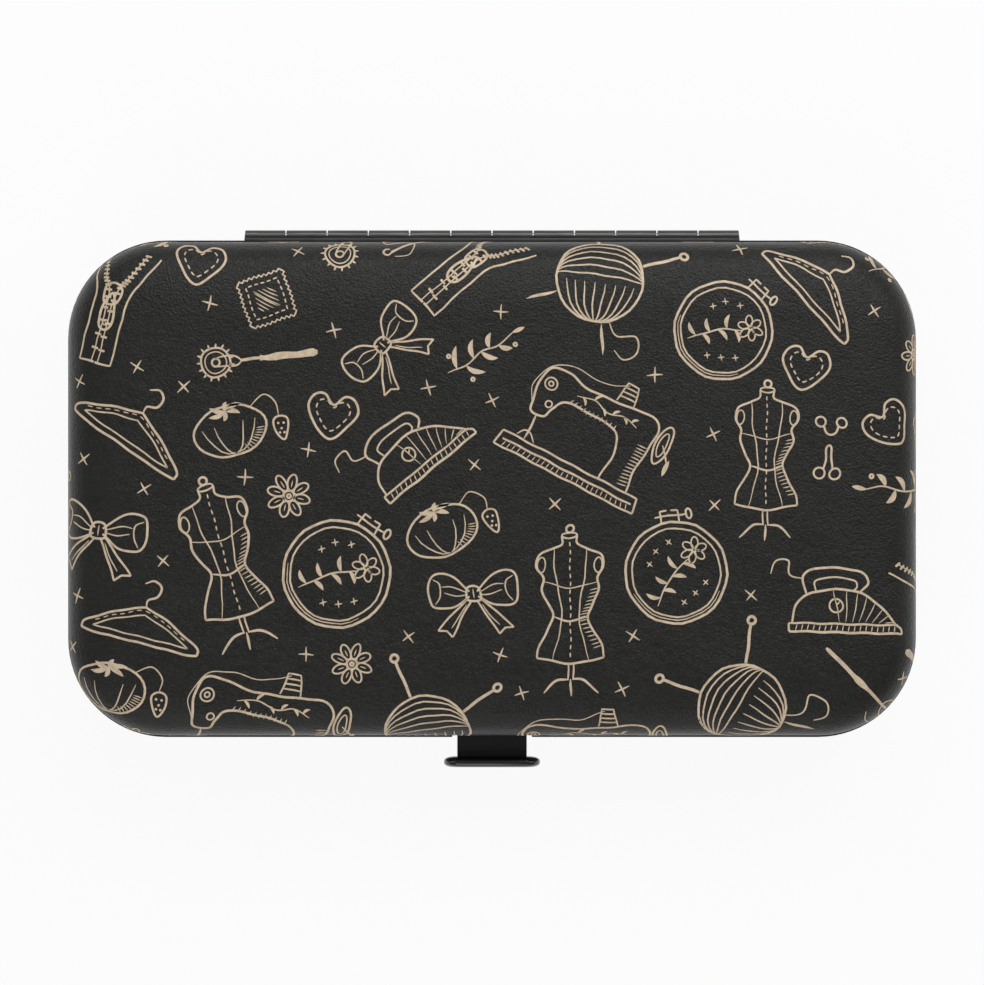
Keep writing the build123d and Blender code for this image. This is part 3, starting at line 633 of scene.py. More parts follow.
def tracing_wheel():
    strokes = [ring(0.5, 8.4, 0, 3), ring(0.5, 8.4, 0, 0.8), ring(0.3, 8.4, 0, 2.2)]
    angles = np.radians(np.arange(0, 360, 24))
    strokes += bars(((polar(2.9, a, 8.4), polar(3.9, a, 8.4)) for a in angles), 0.5, 0.2)
    handle = straight((-12.4, 0), (-0.6, 0), 0.8)
    strokes.append((handle, np.interp(handle[:, 0], [-12.4, -11.6, -8, -4, -1.4, -0.6],
                                      [0.9, 2, 1.5, 1.9, 1.1, 1.4])))
    return strokes + [bar((-0.6, 0), (3.4, 0), 0.75, 0.9), flow([(3, 0), (4.6, 1), (8.4, 0.9)], 0.45),
                      flow([(3, 0), (4.6, -1), (8.4, -0.9)], 0.45)]


def cloth_swatch():
    half, teeth = 4.6, 9
    along = np.linspace(-half, half, 2 * teeth + 1)
    jag = half + 0.45 * (np.arange(2 * teeth + 1) % 2)
    strokes = []
    for x, y in ((along, jag), (along, -jag), (jag, along), (-jag, along)):
        strokes.append(pen(np.stack([x, y], -1), 0.42, 1))
    seam = np.array([(-3.4, -3.4), (3.4, -3.4), (3.4, 3.4), (-3.4, 3.4), (-3.4, -3.4)])
    strokes += dashes(seam, 20, 0.36, 0.6)
    strokes += bars((((-2.2, k - 2.2), (k - 2.2, -2.2)) for k in (1, 2, 3, 4)), 0.3)
    return strokes + bars((((k - 2.2, 2.2), (2.2, k - 2.2)) for k in (0, 1, 2, 3)), 0.3)


def stitched_heart():
    edge = [(0, -4.6), (3.4, -1.6), (4.7, 1), (3.9, 3.3), (1.9, 3.7), (0, 2), (-1.9, 3.7), (-3.9, 3.3), (-4.7, 1),
            (-3.4, -1.6)]
    inner = curve(np.array(edge) * 0.68 + (0, 0.1), closed=True)
    return [loop(edge, 0.55)] + dashes(inner, 13, 0.36, 0.6)


def hook_and_eye():
    hook = [ring(0.46, -3.4, side * 1.5, 1.05) for side in (1, -1)]
    hook.append(flow([(-2.5, 0.9), (-0.6, 0.5), (1.4, 0.5), (2, 0), (1.4, -0.5), (-0.6, -0.5), (-2.5, -0.9)],
                     0.5, 0.9))
    eye = [ring(0.46, 6.4, side * 2, 0.95) for side in (1, -1)]
    return hook + eye + [flow([(5.6, 1.4), (4.4, 0.9), (4, 0), (4.4, -0.9), (5.6, -1.4)], 0.5, 0.9)]


def daisy():
    petals = np.radians(np.arange(0, 360, 45))
    strokes = [ring(0.42, *polar(2.6, a), 1.55, 0.85, math.degrees(a)) for a in petals]
    strokes += bars(((polar(1.7, a), polar(3, a)) for a in petals), 0.26)
    return strokes + [ring(0.5, 0, 0, 1), ring(0.5, 0, 0, 0.35)]


def cross_stitch():
    return bars((((-1.1, -1.1), (1.1, 1.1)), ((-1.1, 1.1), (1.1, -1.1))))


def best_place(taken, middle, outline, alike, draw, lean, span, clearance=2.5, snug=3.4, tries=260):
    """Try a drawing at random places and turns. Its reach in 24 directions, plus the clearance, is
    its own ground. Of the places that are free and far from drawings like it, the one with the most
    neighbours within the snug distance is taken."""
    best = None
    apart = 5 + 2.3 * np.hypot(outline[:, 0], outline[:, 1]).max()
    for _ in range(tries):
        angle = math.radians(draw.uniform(-lean, lean))
        spin = np.array([[math.cos(angle), math.sin(angle)], [-math.sin(angle), math.cos(angle)]])
        centre = draw.uniform(-span, span)
        tips = outline @ spin
        cells = (tips + centre + middle).astype(int)
        if np.hypot(*(alike - centre).T).min() < apart or taken[cells[:, 0], cells[:, 1]].any():
            continue
        ground = (tips @ COMPASS).max(0)
        reach = int(ground.max() + clearance + snug) + 1
        low = np.maximum((centre + middle).astype(int) - reach, 0)
        high = np.minimum(low + 2 * reach + 1, taken.shape)
        x = np.arange(low[0], high[0]) + 0.5 - middle[0] - centre[0]
        y = np.arange(low[1], high[1]) + 0.5 - middle[1] - centre[1]
        beyond = (x[:, None, None] * COMPASS[0] + y[None, :, None] * COMPASS[1] - ground).max(-1)
        window = taken[low[0]:high[0], low[1]:high[1]]
        near = beyond < clearance + snug
        if (window & (beyond < clearance)).any():
            continue
        if best is None or (window & near).sum() / near.sum() > best[0]:
            best = ((window & near).sum() / near.sum(), spin, centre, window, beyond < OWN_MARGIN)
    return best


def strew(groups, seed):
    """Lay the drawings out over the sheet, the groups in order and the kinds in a group by turns.
    Each has its own small wave in its lines, as from a hand. Returns all the strokes where they lie."""
    draw = np.random.default_rng(seed)
    span = np.array([CORE_X + PRINT_END, CORE_Y + PRINT_END])
    middle = span + SHEET_MARGIN
    taken = np.zeros((2 * middle).astype(int), bool)
    laid, centres = [], {}
    for group in groups:
        for turn in range(max(count for _, count, _ in group)):
            for drawing, count, lean in group:
                if turn >= count:
                    continue
                grown = draw.uniform(0.94, 1.06)
                strokes = drawing()
                joined = grown * np.concatenate([line for line, _ in strokes])
                tips = joined[np.unique((joined @ COMPASS).argmax(0))]
                alike = np.array(centres.get(drawing, [(999, 999)]))
                best = best_place(taken, middle, tips, alike, draw, lean, span)
                if best is None:
                    continue
                _, spin, centre, window, ground = best
                window |= ground
                centres.setdefault(drawing, []).append(centre)
                wave = draw.uniform(0, 6.28, 2)
                for line, width in strokes:
                    placed = grown * line @ spin + centre
                    placed = placed + HAND_WAVE * np.sin(1.1 * placed[:, ::-1] + wave)
                    laid.append((placed, PEN * width * grown))
    return laid


def square_to(path, closed=False):
    """Unit vectors square to a flat path, to its left. The ends of a closed one lie on each other."""
    ahead = np.gradient(path, axis=0)
    if closed:
        ahead[0] = ahead[-1] = path[1] - path[-2]
    ahead /= np.maximum(np.hypot(ahead[:, 0], ahead[:, 1]), 1e-9)[:, None]
    return np.stack([-ahead[:, 1], ahead[:, 0]], -1)


def ribbons(strokes):
    """Thin closed strips on the cover: a stroke's edges are its line moved by half its width to each
    side, and are carried onto the cover a little over and a little under its surface."""
    points, faces, count = [], [], 0
    for number, (line, width) in enumerate(strokes):
        lift = PRINT_LIFT + LIFT_STEP * (number % 5)
        inside = np.hypot(*(line - np.clip(line, (-CORE_X, -CORE_Y), (CORE_X, CORE_Y))).T) < PRINT_END
        if inside.sum() < 3:
            continue
        for part in np.split(np.arange(len(line)), np.flatnonzero(np.diff(inside.astype(int))) + 1):
            if len(part) < 3 or not inside[part[0]]:
                continue
            path, broad = line[part], width[part, None]
            closed = len(part) == len(line) and np.allclose(path[0], path[-1])
            aside = square_to(path, closed) * broad / 2
            left, right = path + aside, path - aside
            edges = np.stack([on_cover(left, lift), on_cover(right, lift),
                              on_cover(right, -PRINT_SINK), on_cover(left, -PRINT_SINK)], 1)
            points.append(edges.reshape(-1, 3))
            sides = np.asarray(grid_faces(len(part), 4)) + count
            last = count + 4 * (len(part) - 1)
            faces += sides.tolist() + [[count, count + 1, count + 2, count + 3], [last + 3, last + 2, last + 1, last]]
            count += 4 * len(part)
    return np.concatenate(points), faces


ink = Finish("gold_print", (0.66, 0.53, 0.38), 0.52, 0.15)
ink.vary("Base Color", ink.pattern("Noise", 900, 5), (0.54, 0.425, 0.295), (0.73, 0.585, 0.42), 0.3, 0.62)
ink.relief(ink.pattern("Voronoi", 1250), 0.08, 0.5)

DRAWINGS = [
    [(sewing_machine, 3, 32), (dress_form, 3, 32), (yarn_ball, 3, 60), (embroidery_hoop, 3, 45)],
    [(coat_hanger, 3, 50), (flat_iron, 3, 40), (ribbon_bow, 3, 50), (open_zip, 3, 90), (pincushion, 3, 30)],
    [(tracing_wheel, 4, 180), (crochet_hook, 4, 180), (leafy_sprig, 6, 120), (cloth_swatch, 5, 45),
     (stitched_heart, 6, 40)],
    [(hook_and_eye, 6, 180), (daisy, 12, 180)],
    [(cross_stitch, 34, 45)],
]
for half, seed in (("lid", 11), ("base", 5)):
    points, faces = ribbons(strew(DRAWINGS, seed))
    make_piece(half + "_print", in_half(points, half), faces, ink, half, "leatherette", flip=half == "base", sharp=40)

# Metal rims
# Each half has a rim of pressed steel sheet: a flange on the parting plane, a band that grips the
# cover and an inner leg that holds the lining. It is plated a satin gunmetal.
gunmetal = Finish("gunmetal_plating", (0.055, 0.055, 0.058), 0.33, 0.85)
streaks = gunmetal.pattern("Noise", 1500, 4, (0.2, 0.2, 2))
gunmetal.vary("Roughness", streaks, 0.30, 0.38)
gunmetal.vary("Base Color", gunmetal.pattern("Noise", 120, 4), (0.052, 0.052, 0.053), (0.064, 0.063, 0.063))
gunmetal.relief(streaks, 0.01, 0.4)
for node in ("base_frame", "lid_frame", "latch_housing", "latch_housing_top"):
    dress(node, gunmetal)

# Piano hinge
# Two leaves of rolled sheet run along the back, spot welded to the rims. Their knuckles take turns
# round one long steel pin; the first one on the left is the lid's.
HINGE_Y = 51.0
KNUCKLES = 12
PITCH = 8.3
KNUCKLE_GAP = 0.25
KNUCKLE_RADIUS = 1.05
SHEET = 0.5
LEAF_BACK = -1.2
LEAF_HEIGHT = 4.5
NOTCH = 1.25
CURL_END = 484


def softened(piece, width, segments=2, angle=35):
    """Roll a piece's sharp edges with a bevel in millimetres, and harden its normals."""
    roll = piece.modifiers.new("softened", "BEVEL")
    roll.width = width * MM
    roll.segments = segments
    roll.limit_method = "ANGLE"
    roll.angle_limit = math.radians(angle)
    roll.harden_normals = True
    return piece


def prism(outline, low, high, axis=0):
    """Closed straight piece: an outline in the two other directions carried from low to high along
    an axis. Returns points and faces; the outline runs counter-clockwise seen from the high end."""
    outline = np.asarray(outline, float)
    points = np.concatenate([np.insert(outline, axis, level, axis=1) for level in (low, high)])
    faces = skin(2, len(outline))
    return points, turned_over(faces) if axis == 1 else faces


def gather(shapes):
    """Several shapes as one: their points after each other, and the faces renumbered."""
    points, faces, count = [], [], 0
    for shape_points, shape_faces in shapes:
        shape_points = np.asarray(shape_points, float).reshape(-1, 3)
        points.append(shape_points)
        faces += [[corner + count for corner in face] for face in shape_faces]
        count += len(shape_points)
    return np.concatenate(points), faces


def arc_about_pin(start, finish, steps, radius):
    """Points of a circle about the pin, as (y, z) from it, between two angles in degrees."""
    angles = np.radians(np.linspace(start, finish, steps))
    return np.stack([radius * np.cos(angles), radius * np.sin(angles)], -1)


outer = arc_about_pin(180, CURL_END, 34, KNUCKLE_RADIUS)
inner = arc_about_pin(CURL_END, 180, 30, KNUCKLE_RADIUS - SHEET)
hinge_metal = Finish("hinge_plating", (0.10, 0.098, 0.096), 0.42, 0.9)
rolled_marks = hinge_metal.pattern("Noise", 2200, 4, (0.12, 1, 1))
hinge_metal.vary("Base Color", rolled_marks, (0.085, 0.0835, 0.082), (0.125, 0.123, 0.121))
hinge_metal.relief(rolled_marks, 0.008, 0.5)
curl = np.vstack([[(LEAF_BACK, NOTCH)], outer, inner, [(LEAF_BACK + SHEET, NOTCH)]])
plate = np.array([(LEAF_BACK, NOTCH), (LEAF_BACK + SHEET, NOTCH), (LEAF_BACK + SHEET, LEAF_HEIGHT),
                  (LEAF_BACK, LEAF_HEIGHT)])
hinge_end = KNUCKLES * PITCH / 2
for half, first in (("lid", 0), ("base", 1)):
    shapes = [prism(plate, -hinge_end + KNUCKLE_GAP / 2, hinge_end - KNUCKLE_GAP / 2)]
    for number in range(first, KNUCKLES, 2):
        left = -hinge_end + number * PITCH + KNUCKLE_GAP / 2
        shapes.append(prism(curl, left, left + PITCH - KNUCKLE_GAP))
    points, faces = gather(shapes)
    points[:, 1] += HINGE_Y
    leaf_piece = make_piece(half + "_hinge", in_half(points, half), faces, hinge_metal, half, "hinge_metal",
                            ("hinge_leaf_" + half,), flip=half == "base", sharp=40)
    softened(leaf_piece, 0.07)
steel = Finish("drawn_steel", (0.48, 0.48, 0.49), 0.28, 1.0)
steel.vary("Roughness", steel.pattern("Noise", 3000, 3, (0.05, 1, 1)), 0.2, 0.36)
dress("hinge_pin", steel)

# Push latch
# A sprung plate of black steel slides in a riveted housing in the base. Pressing the thumb bar on
# its end frees the hook on the lid. The plate is matte and the bar is glossy enamel.
BAR_Y = -55.0
BAR_Z = 16.8
BAR_HALF = 6.2
BAR_RADIUS = 3.5
BAR_THICK = 1.2
enamel = Finish("black_enamel", (0.008, 0.008, 0.0085), 0.12, Coat_Weight=0.5, Coat_Roughness=0.06)
orange_peel = enamel.pattern("Noise", 800)
enamel.relief(orange_peel, 0.012, 0.4)
enamel.vary("Roughness", orange_peel, 0.1, 0.17)
matte_black = Finish("matte_black_plating", (0.012, 0.012, 0.0125), 0.5, 0.3)
fine = matte_black.pattern("Noise", 2200, 3)
matte_black.vary("Roughness", fine, 0.42, 0.58)
matte_black.relief(fine, 0.008, 0.5)
around_bar = np.radians(np.arange(0, 360, 5))
spine = np.stack([np.sign(np.cos(around_bar)) * BAR_HALF * (np.abs(np.cos(around_bar)) > 0.02), 0 * around_bar], -1)
rim = np.stack([np.cos(around_bar), np.sin(around_bar)], -1)
across = np.linspace(-math.pi / 2, math.pi / 2, 25)
share = np.cos(across) ** 0.7
depth = np.sign(across) * np.abs(np.sin(across)) ** 0.75 * BAR_THICK
dish = np.where(across < 0, 0.28 * np.clip(1 - (share / 0.72) ** 2, 0, 1), 0)
bar_points = np.concatenate([spine[None] + rim[None] * (BAR_RADIUS * np.maximum(share, 0.02))[:, None, None],
                             np.broadcast_to((depth + dish)[:, None, None], (len(across), len(rim), 1))], -1)
bar_points = bar_points[..., [0, 2, 1]] + (0, BAR_Y, BAR_Z)
make_piece("thumb_bar", bar_points, skin(len(across), len(rim)), enamel, "latch", "tab_black", ("latch_tab",),
           flip=True, sharp=60)
for node in ("latch_plate", "latch_hook"):
    dress(node, matte_black)

# Lining and tool panel
# The lid is lined with black velvet on thin board. A velvet covered panel is glued under its
# ceiling to carry the tools, and its edge is rolled over.
def softened_copy(node, name, finish, body, width):
    """The piece as it is cut, with its sharp edges rolled: a merged copy of the node under a bevel."""
    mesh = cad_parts[node].data.copy()
    mesh.name = name
    shape = bmesh.new()
    shape.from_mesh(mesh)
    bmesh.ops.remove_doubles(shape, verts=shape.verts, dist=0.002 * MM)
    bmesh.ops.dissolve_limit(shape, angle_limit=math.radians(2), verts=shape.verts, edges=shape.edges)
    shape.to_mesh(mesh)
    shape.free()
    mesh.materials.clear()
    mesh.materials.append(finish.material)
    piece = bpy.data.objects.new(name, mesh)
    bpy.context.collection.objects.link(piece)
    mesh.polygons.foreach_set("use_smooth", np.ones(len(mesh.polygons), bool))
    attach(piece, body)
    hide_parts(node)
    return softened(piece, width, 3, 30)


def pile(name, colour, lighter, depth):
    """Short upright pile, such as velvet or flock: a sheen over fine noise, with brushed patches."""
    finish = Finish(name, colour, 0.9, 0, 0.15, Sheen_Weight=0.55, Sheen_Roughness=0.35,
                    Sheen_Tint=(0.7, 0.7, 0.75, 1))
    finish.vary("Base Color", finish.pattern("Noise", 55, 3), colour, lighter, 0.35)
    finish.relief(finish.pattern("Noise", 3800), depth, 0.9)
    return finish


velvet = pile("black_velvet", (0.010, 0.010, 0.011), (0.021, 0.021, 0.023), 0.12)
flock = pile("black_flock", (0.014, 0.014, 0.015), (0.026, 0.026, 0.028), 0.2)
softened_copy("lid_lining", "velvet_lining", velvet, "lid", 0.12)
softened_copy("tool_panel", "velvet_panel", velvet, "lid", 0.4)

# Insert
# The base is filled by a block of foam, cut out for the tools and covered with a short black flock,
# which rounds every edge a little.
softened_copy("tool_insert", "flocked_insert", flock, "base", 0.45)

# Latch housing
# The plate of the latch runs in a steel housing under a cover that two dome rivets hold.
RIVET_RADIUS = 0.95
RIVET_X, RIVET_Y = 9.6, (-40.6, -31.6)
RIVET_HEIGHT = 0.55
HOUSING_TOP = 18.1


def lathe(profile, sides, looped=False):
    """Turned form about Z from (radius, height) pairs, listed so that the outside lies to the right
    on the way. An open profile is capped at both ends; a looped one joins up."""
    profile = np.asarray(profile, float)
    angle = np.linspace(0, 2 * math.pi, sides, endpoint=False)
    points = np.stack([profile[:, :1] * np.cos(angle), profile[:, :1] * np.sin(angle),
                       np.broadcast_to(profile[:, 1:], (len(profile), sides))], -1)
    faces = grid_faces(len(profile), sides, True) if looped else skin(len(profile), sides)
    return points.reshape(-1, 3), faces


dome = np.linspace(0, math.pi / 2, 7)
rivet, rivet_faces = lathe(np.stack([RIVET_RADIUS * np.cos(dome) + 0.03, RIVET_HEIGHT * np.sin(dome)], -1), 20)
rivets = gather([(rivet + (side * RIVET_X, y, HOUSING_TOP), rivet_faces) for side in (-1, 1) for y in RIVET_Y])
make_piece("housing_rivets", *rivets, steel, "base", "housing_metal", sharp=50)

# Thread spools
# Four white plastic spools lie in the back row. Each has two flanges with a rounded rim on a hollow
# core, and is wound full with polyester thread of its own colour, turn beside turn.
SPOOL_X = [-69.3 + 13.6 * (number + 0.5) for number in range(4)]
SPOOL_Y = 33.3
SPOOL_Z = 12.0
SPOOL_HALF = 9.5
FLANGE = 1.6
FLANGE_RADIUS = 6.15
THREAD_RADIUS = 5.3
THREAD_PITCH = 0.44
THREAD_COLOURS = {"red": (0.42, 0.02, 0.03), "ivory": (0.70, 0.64, 0.50), "blue": (0.02, 0.06, 0.20),
                  "ochre": (0.52, 0.27, 0.04)}


def laid_down(points, x, y, z):
    """Turn an upright form so that its top points to the front, and set it at a place."""
    points = np.asarray(points, float)
    return np.stack([points[..., 0] + x, y - points[..., 2], points[..., 1] + z], -1)


round_rim = np.linspace(-math.pi / 2, math.pi / 2, 7)
flange_edge = np.stack([FLANGE_RADIUS - 0.4 + 0.4 * np.cos(round_rim), 0.8 * np.sin(round_rim)], -1)
flange = np.vstack([[(1.6, -0.8), (3.0, -0.8), (3.3, -0.62), (4.6, -0.62), (5.0, -0.8)], flange_edge,
                    [(5.0, 0.8), (1.6, 0.8)]])
core_wall = [(1.6, SPOOL_HALF), (1.6, -SPOOL_HALF), (2.2, -SPOOL_HALF), (2.2, SPOOL_HALF)]
white_plastic = Finish("white_plastic", (0.78, 0.76, 0.70), 0.3, Subsurface_Weight=0.08,
                       Subsurface_Radius=(0.002, 0.0015, 0.001))
white_plastic.vary("Roughness", white_plastic.pattern("Noise", 140, 3), 0.26, 0.38)
spool_shapes = []
for x in SPOOL_X:
    for end, turn in ((SPOOL_HALF - FLANGE / 2, 1), (-SPOOL_HALF + FLANGE / 2, -1)):
        disc, disc_faces = lathe(flange, 48, looped=True)
        disc = disc * (1, turn, turn) + (0, 0, end)
        spool_shapes.append((laid_down(disc, x, SPOOL_Y, SPOOL_Z), disc_faces))
    core_points, core_faces = lathe(core_wall[::-1], 32, looped=True)
    spool_shapes.append((laid_down(core_points, x, SPOOL_Y, SPOOL_Z), turned_over(core_faces)))
make_piece("spools", *gather(spool_shapes), white_plastic, "base", "spool_plastic", ("thread_spools",), sharp=40)

for number, (tint, colour) in enumerate(THREAD_COLOURS.items()):
    thread = Finish("thread_" + tint, colour, 0.55, Sheen_Weight=0.35, Sheen_Roughness=0.4)
    twist = thread.pattern("Noise", 1600, 3, (1, 2.5, 1))
    thread.vary("Base Color", twist, [0.72 * part for part in colour], colour)
    thread.relief(twist, 0.05, 0.7)
    half = SPOOL_HALF - FLANGE - 0.02
    rows, sides = 216, 44
    height = np.linspace(-half, half, rows)[:, None]
    angle = np.linspace(0, 2 * math.pi, sides, endpoint=False)[None]
    phase = height / THREAD_PITCH * 2 * math.pi + angle + 0.5 * np.sin(height * 1.7 + number)
    radius = THREAD_RADIUS - 0.14 + 0.13 * np.abs(np.cos(phase / 2)) ** 0.6 - 0.5 * np.abs(height / half) ** 9
    radius = radius + 0.05 * np.sin(2.3 * height + number) + 0.03 * np.sin(angle + height)
    wound = np.stack([radius * np.cos(angle), radius * np.sin(angle), height + 0 * angle], -1)
    make_piece("thread_" + tint + "_winding", laid_down(wound, SPOOL_X[number], SPOOL_Y, SPOOL_Z), skin(rows, sides),
               thread, "base", "thread", ("thread_windings",) if number == 0 else (), sharp=70)

# Thimble
# Nickel plated and pressed from thin sheet, with a rolled rim at its mouth. Rows of round dimples
# run round the wall above a plain band, and over the end.
THIMBLE_X = -4.6
THIMBLE_Z = 13.8
THIMBLE_MOUTH_Y = 23.8
THIMBLE_LENGTH = 19.0
MOUTH_RADIUS = 7.75
TIP_RADIUS = 6.3
THIMBLE_WALL = 0.8
DIMPLE_ROW = 1.12
DIMPLES_ROUND = 30
FIRST_ROW = 4.6
DIMPLE_SPREAD = 0.34
END_PITCH = 1.1
nickel = Finish("nickel_plating", (0.72, 0.69, 0.64), 0.2, 1.0)
nickel.vary("Roughness", nickel.pattern("Noise", 600, 4), 0.14, 0.3)
roll_angle = np.linspace(-math.pi * 0.5, math.pi * 0.9, 12)
rolled_rim = np.stack([MOUTH_RADIUS - 0.1 + 0.34 * np.cos(roll_angle), 0.36 + 0.34 * np.sin(roll_angle)], -1)
wall_height = np.linspace(0.9, THIMBLE_LENGTH - 2.2, 110)
wall_radius = np.interp(wall_height, [0, THIMBLE_LENGTH], [MOUTH_RADIUS, TIP_RADIUS])
bend = np.linspace(0, math.pi / 2, 16)[1:]
dome_radius = wall_radius[-1] - 2.0 * (1 - np.cos(bend)) - 0.1
dome_height = wall_height[-1] + 2.2 * np.sin(bend)
flat_end = np.linspace(dome_radius[-1], 0.05, 36)[1:]
outside = np.vstack([rolled_rim, np.stack([wall_radius, wall_height], -1), np.stack([dome_radius, dome_height], -1),
                     np.stack([flat_end, np.full_like(flat_end, dome_height[-1])], -1)])
inside = np.array([(0.05, THIMBLE_LENGTH - THIMBLE_WALL), (TIP_RADIUS - 2.2, THIMBLE_LENGTH - THIMBLE_WALL - 0.05),
                   (TIP_RADIUS - THIMBLE_WALL - 0.2, THIMBLE_LENGTH - 2.6), (MOUTH_RADIUS - THIMBLE_WALL, 1.2),
                   (MOUTH_RADIUS - THIMBLE_WALL + 0.2, 0.4)])
profile = np.vstack([outside, inside])
sides = 150
thimble_points, thimble_faces = lathe(profile, sides, looped=True)
thimble_points = thimble_points.reshape(len(profile), sides, 3)
angle = np.linspace(0, 2 * math.pi, sides, endpoint=False)[None]
row = np.round((profile[:, 1:] - FIRST_ROW) / DIMPLE_ROW)
along = profile[:, 1:] - FIRST_ROW - row * DIMPLE_ROW
cell = 2 * math.pi / DIMPLES_ROUND
turned = (angle - (row % 2) * cell / 2 + cell / 2) % cell - cell / 2
distance = np.hypot(along, turned * profile[:, :1])
station = np.arange(len(profile))[:, None]
on_wall = (profile[:, 1:] > 4.2) & (profile[:, 1:] < wall_height[-1]) & (station < len(outside))
pressed = np.where(on_wall, 0.2 * np.exp(-(distance / DIMPLE_SPREAD) ** 2), 0)
x, y = thimble_points[..., 0], thimble_points[..., 1]
thimble_points[..., :2] *= (1 - pressed / np.maximum(profile[:, :1], 1))[..., None]
column = np.round(x / END_PITCH)
line = np.round((y - (column % 2) * END_PITCH / 2) / END_PITCH)
distance = np.hypot(x - END_PITCH * column, y - (column % 2) * END_PITCH / 2 - END_PITCH * line)
on_end = (station >= len(rolled_rim) + len(wall_height) + 4) & (station < len(outside))
thimble_points[..., 2] -= np.where(on_end, 0.18 * np.exp(-(distance / DIMPLE_SPREAD) ** 2), 0)
thimble_points = np.stack([thimble_points[..., 0] + THIMBLE_X, thimble_points[..., 2] + THIMBLE_MOUTH_Y,
                           thimble_points[..., 1] + THIMBLE_Z], -1)
make_piece("dimpled_thimble", thimble_points, thimble_faces, nickel, "base", "thimble_steel", ("thimble",),
           flip=True, sharp=75)

# Pin box
# A clear moulded box with a push-on lid holds dressmaker's pins with small round glass heads.
PIN_BOX_Y = (25.4, 41.2)
PIN_BOX_FLOOR = 10.3
PIN_LENGTH = 29.0
PIN_COUNT = 34
clear = Finish("clear_plastic", (0.93, 0.95, 0.96), 0.06, Transmission_Weight=0.95, IOR=1.46)
clear.vary("Roughness", clear.pattern("Noise", 900, 5), 0.03, 0.2, 0.45, 0.75)
softened_copy("pin_box", "clear_pin_box", clear, "base", 0.3)
softened_copy("pin_box_lid", "clear_pin_box_lid", clear, "base", 0.4)


def tube(path, radius, sides=8):
    """Round bar along a path: circles square to the path, whose radius may change along it."""
    path = np.asarray(path, float)
    ahead = np.gradient(path, axis=0)
    ahead /= np.linalg.norm(ahead, axis=1)[:, None]
    level = np.array([0.0, 0.0, 1.0]) if np.abs(ahead[:, 2]).max() < 0.95 else np.array([1.0, 0.0, 0.0])
    aside = np.cross(ahead, level)
    aside /= np.maximum(np.linalg.norm(aside, axis=1), 1e-9)[:, None]
    above = np.cross(aside, ahead)
    angle = np.linspace(0, 2 * math.pi, sides, endpoint=False)
    radius = np.broadcast_to(np.asarray(radius, float), len(path))[:, None, None]
    circle = aside[:, None] * np.cos(angle)[None, :, None] + above[:, None] * np.sin(angle)[None, :, None]
    points = path[:, None] + circle * radius
    return points.reshape(-1, 3), skin(len(path), sides)


def ball(centre, radius, sides=12):
    """Small ball: circles whose radius is the cosine of their latitude."""
    latitude = np.linspace(-math.pi / 2 + 0.1, math.pi / 2 - 0.1, sides // 2 + 2)
    points, faces = lathe(np.stack([radius * np.cos(latitude), radius * np.sin(latitude)], -1), sides)
    return points + centre, faces


draw = np.random.default_rng(3)
shafts, heads = [], {"red": [], "white": [], "blue": [], "gold": []}
HEAD_COLOURS = {"red": (0.5, 0.015, 0.02), "white": (0.75, 0.74, 0.7), "blue": (0.02, 0.1, 0.4),
                "gold": (0.6, 0.36, 0.08)}
for number in range(PIN_COUNT):
    lean = draw.normal(0, 0.2)
    way = draw.choice([-1, 1])
    middle = np.array([draw.uniform(47.5, 51.0), draw.uniform(28.4, 38.2),
                       PIN_BOX_FLOOR + 0.75 + 2.6 * number / PIN_COUNT])
    ahead = np.array([way * math.cos(lean), math.sin(lean) * way, draw.normal(0, 0.02)])
    room_y = min(middle[1] - PIN_BOX_Y[0], PIN_BOX_Y[1] - middle[1]) - 0.9
    reach = min(PIN_LENGTH / 2, 0.96 * room_y / max(abs(ahead[1]), 0.02))
    tail, tip = middle - ahead * reach, middle + ahead * reach
    shafts.append(tube(np.linspace(tail, tip, 5), np.array([0.27, 0.27, 0.27, 0.26, 0.04]), 7))
    heads[list(heads)[number % 4]].append(ball(tail, 0.72))
make_piece("pin_shafts", *gather(shafts), steel, "base", "pin_steel", sharp=60)
for tint, shapes in heads.items():
    colour = HEAD_COLOURS[tint]
    glass = Finish("pin_head_" + tint, colour, 0.08, Coat_Weight=0.6)
    glass.vary("Base Color", glass.pattern("Noise", 500), [0.8 * part for part in colour], colour)
    make_piece("pin_heads_" + tint, *gather(shapes), glass, "base", "pin_steel", sharp=80)

# Tape measure
# A coated yellow tape is rolled up turn on turn, so its top shows the edges of its turns. The end
# of the tape has a pressed steel tip.
TAPE_X, TAPE_Y = 57.5, 4.7
TAPE_LOW, TAPE_HIGH = 5.8, 16.7
TAPE_CORE, TAPE_RADIUS = 4.0, 16.1
TAPE_TURNS = 23
TAPE_SHEET = 0.44
tape = Finish("tape_cloth", (0.72, 0.46, 0.09), 0.48)
weave = tape.pattern("Noise", 1500, 3)
tape.vary("Base Color", weave, (0.62, 0.37, 0.06), (0.78, 0.52, 0.13))
tape.relief(weave, 0.03, 0.6)
turn = np.linspace(0, TAPE_TURNS * 2 * math.pi, TAPE_TURNS * 60)
coil_radius = TAPE_CORE + (TAPE_RADIUS - TAPE_CORE) * turn / turn[-1] + 0.05 * np.sin(turn * 0.37)
coil_top = TAPE_HIGH + 0.09 * np.sin(turn * 0.61) + 0.05 * np.sin(turn * 2.3 + 1)
strip = np.array([(-0.5, 0, 0), (-0.5, 1, -0.1), (-0.2, 1, 0), (0.2, 1, 0), (0.5, 1, -0.1), (0.5, 0, 0)])
strip_radius = coil_radius[:, None] + TAPE_SHEET * strip[:, 0]
strip_height = TAPE_LOW + (coil_top[:, None] - TAPE_LOW) * strip[:, 1] + strip[:, 2]
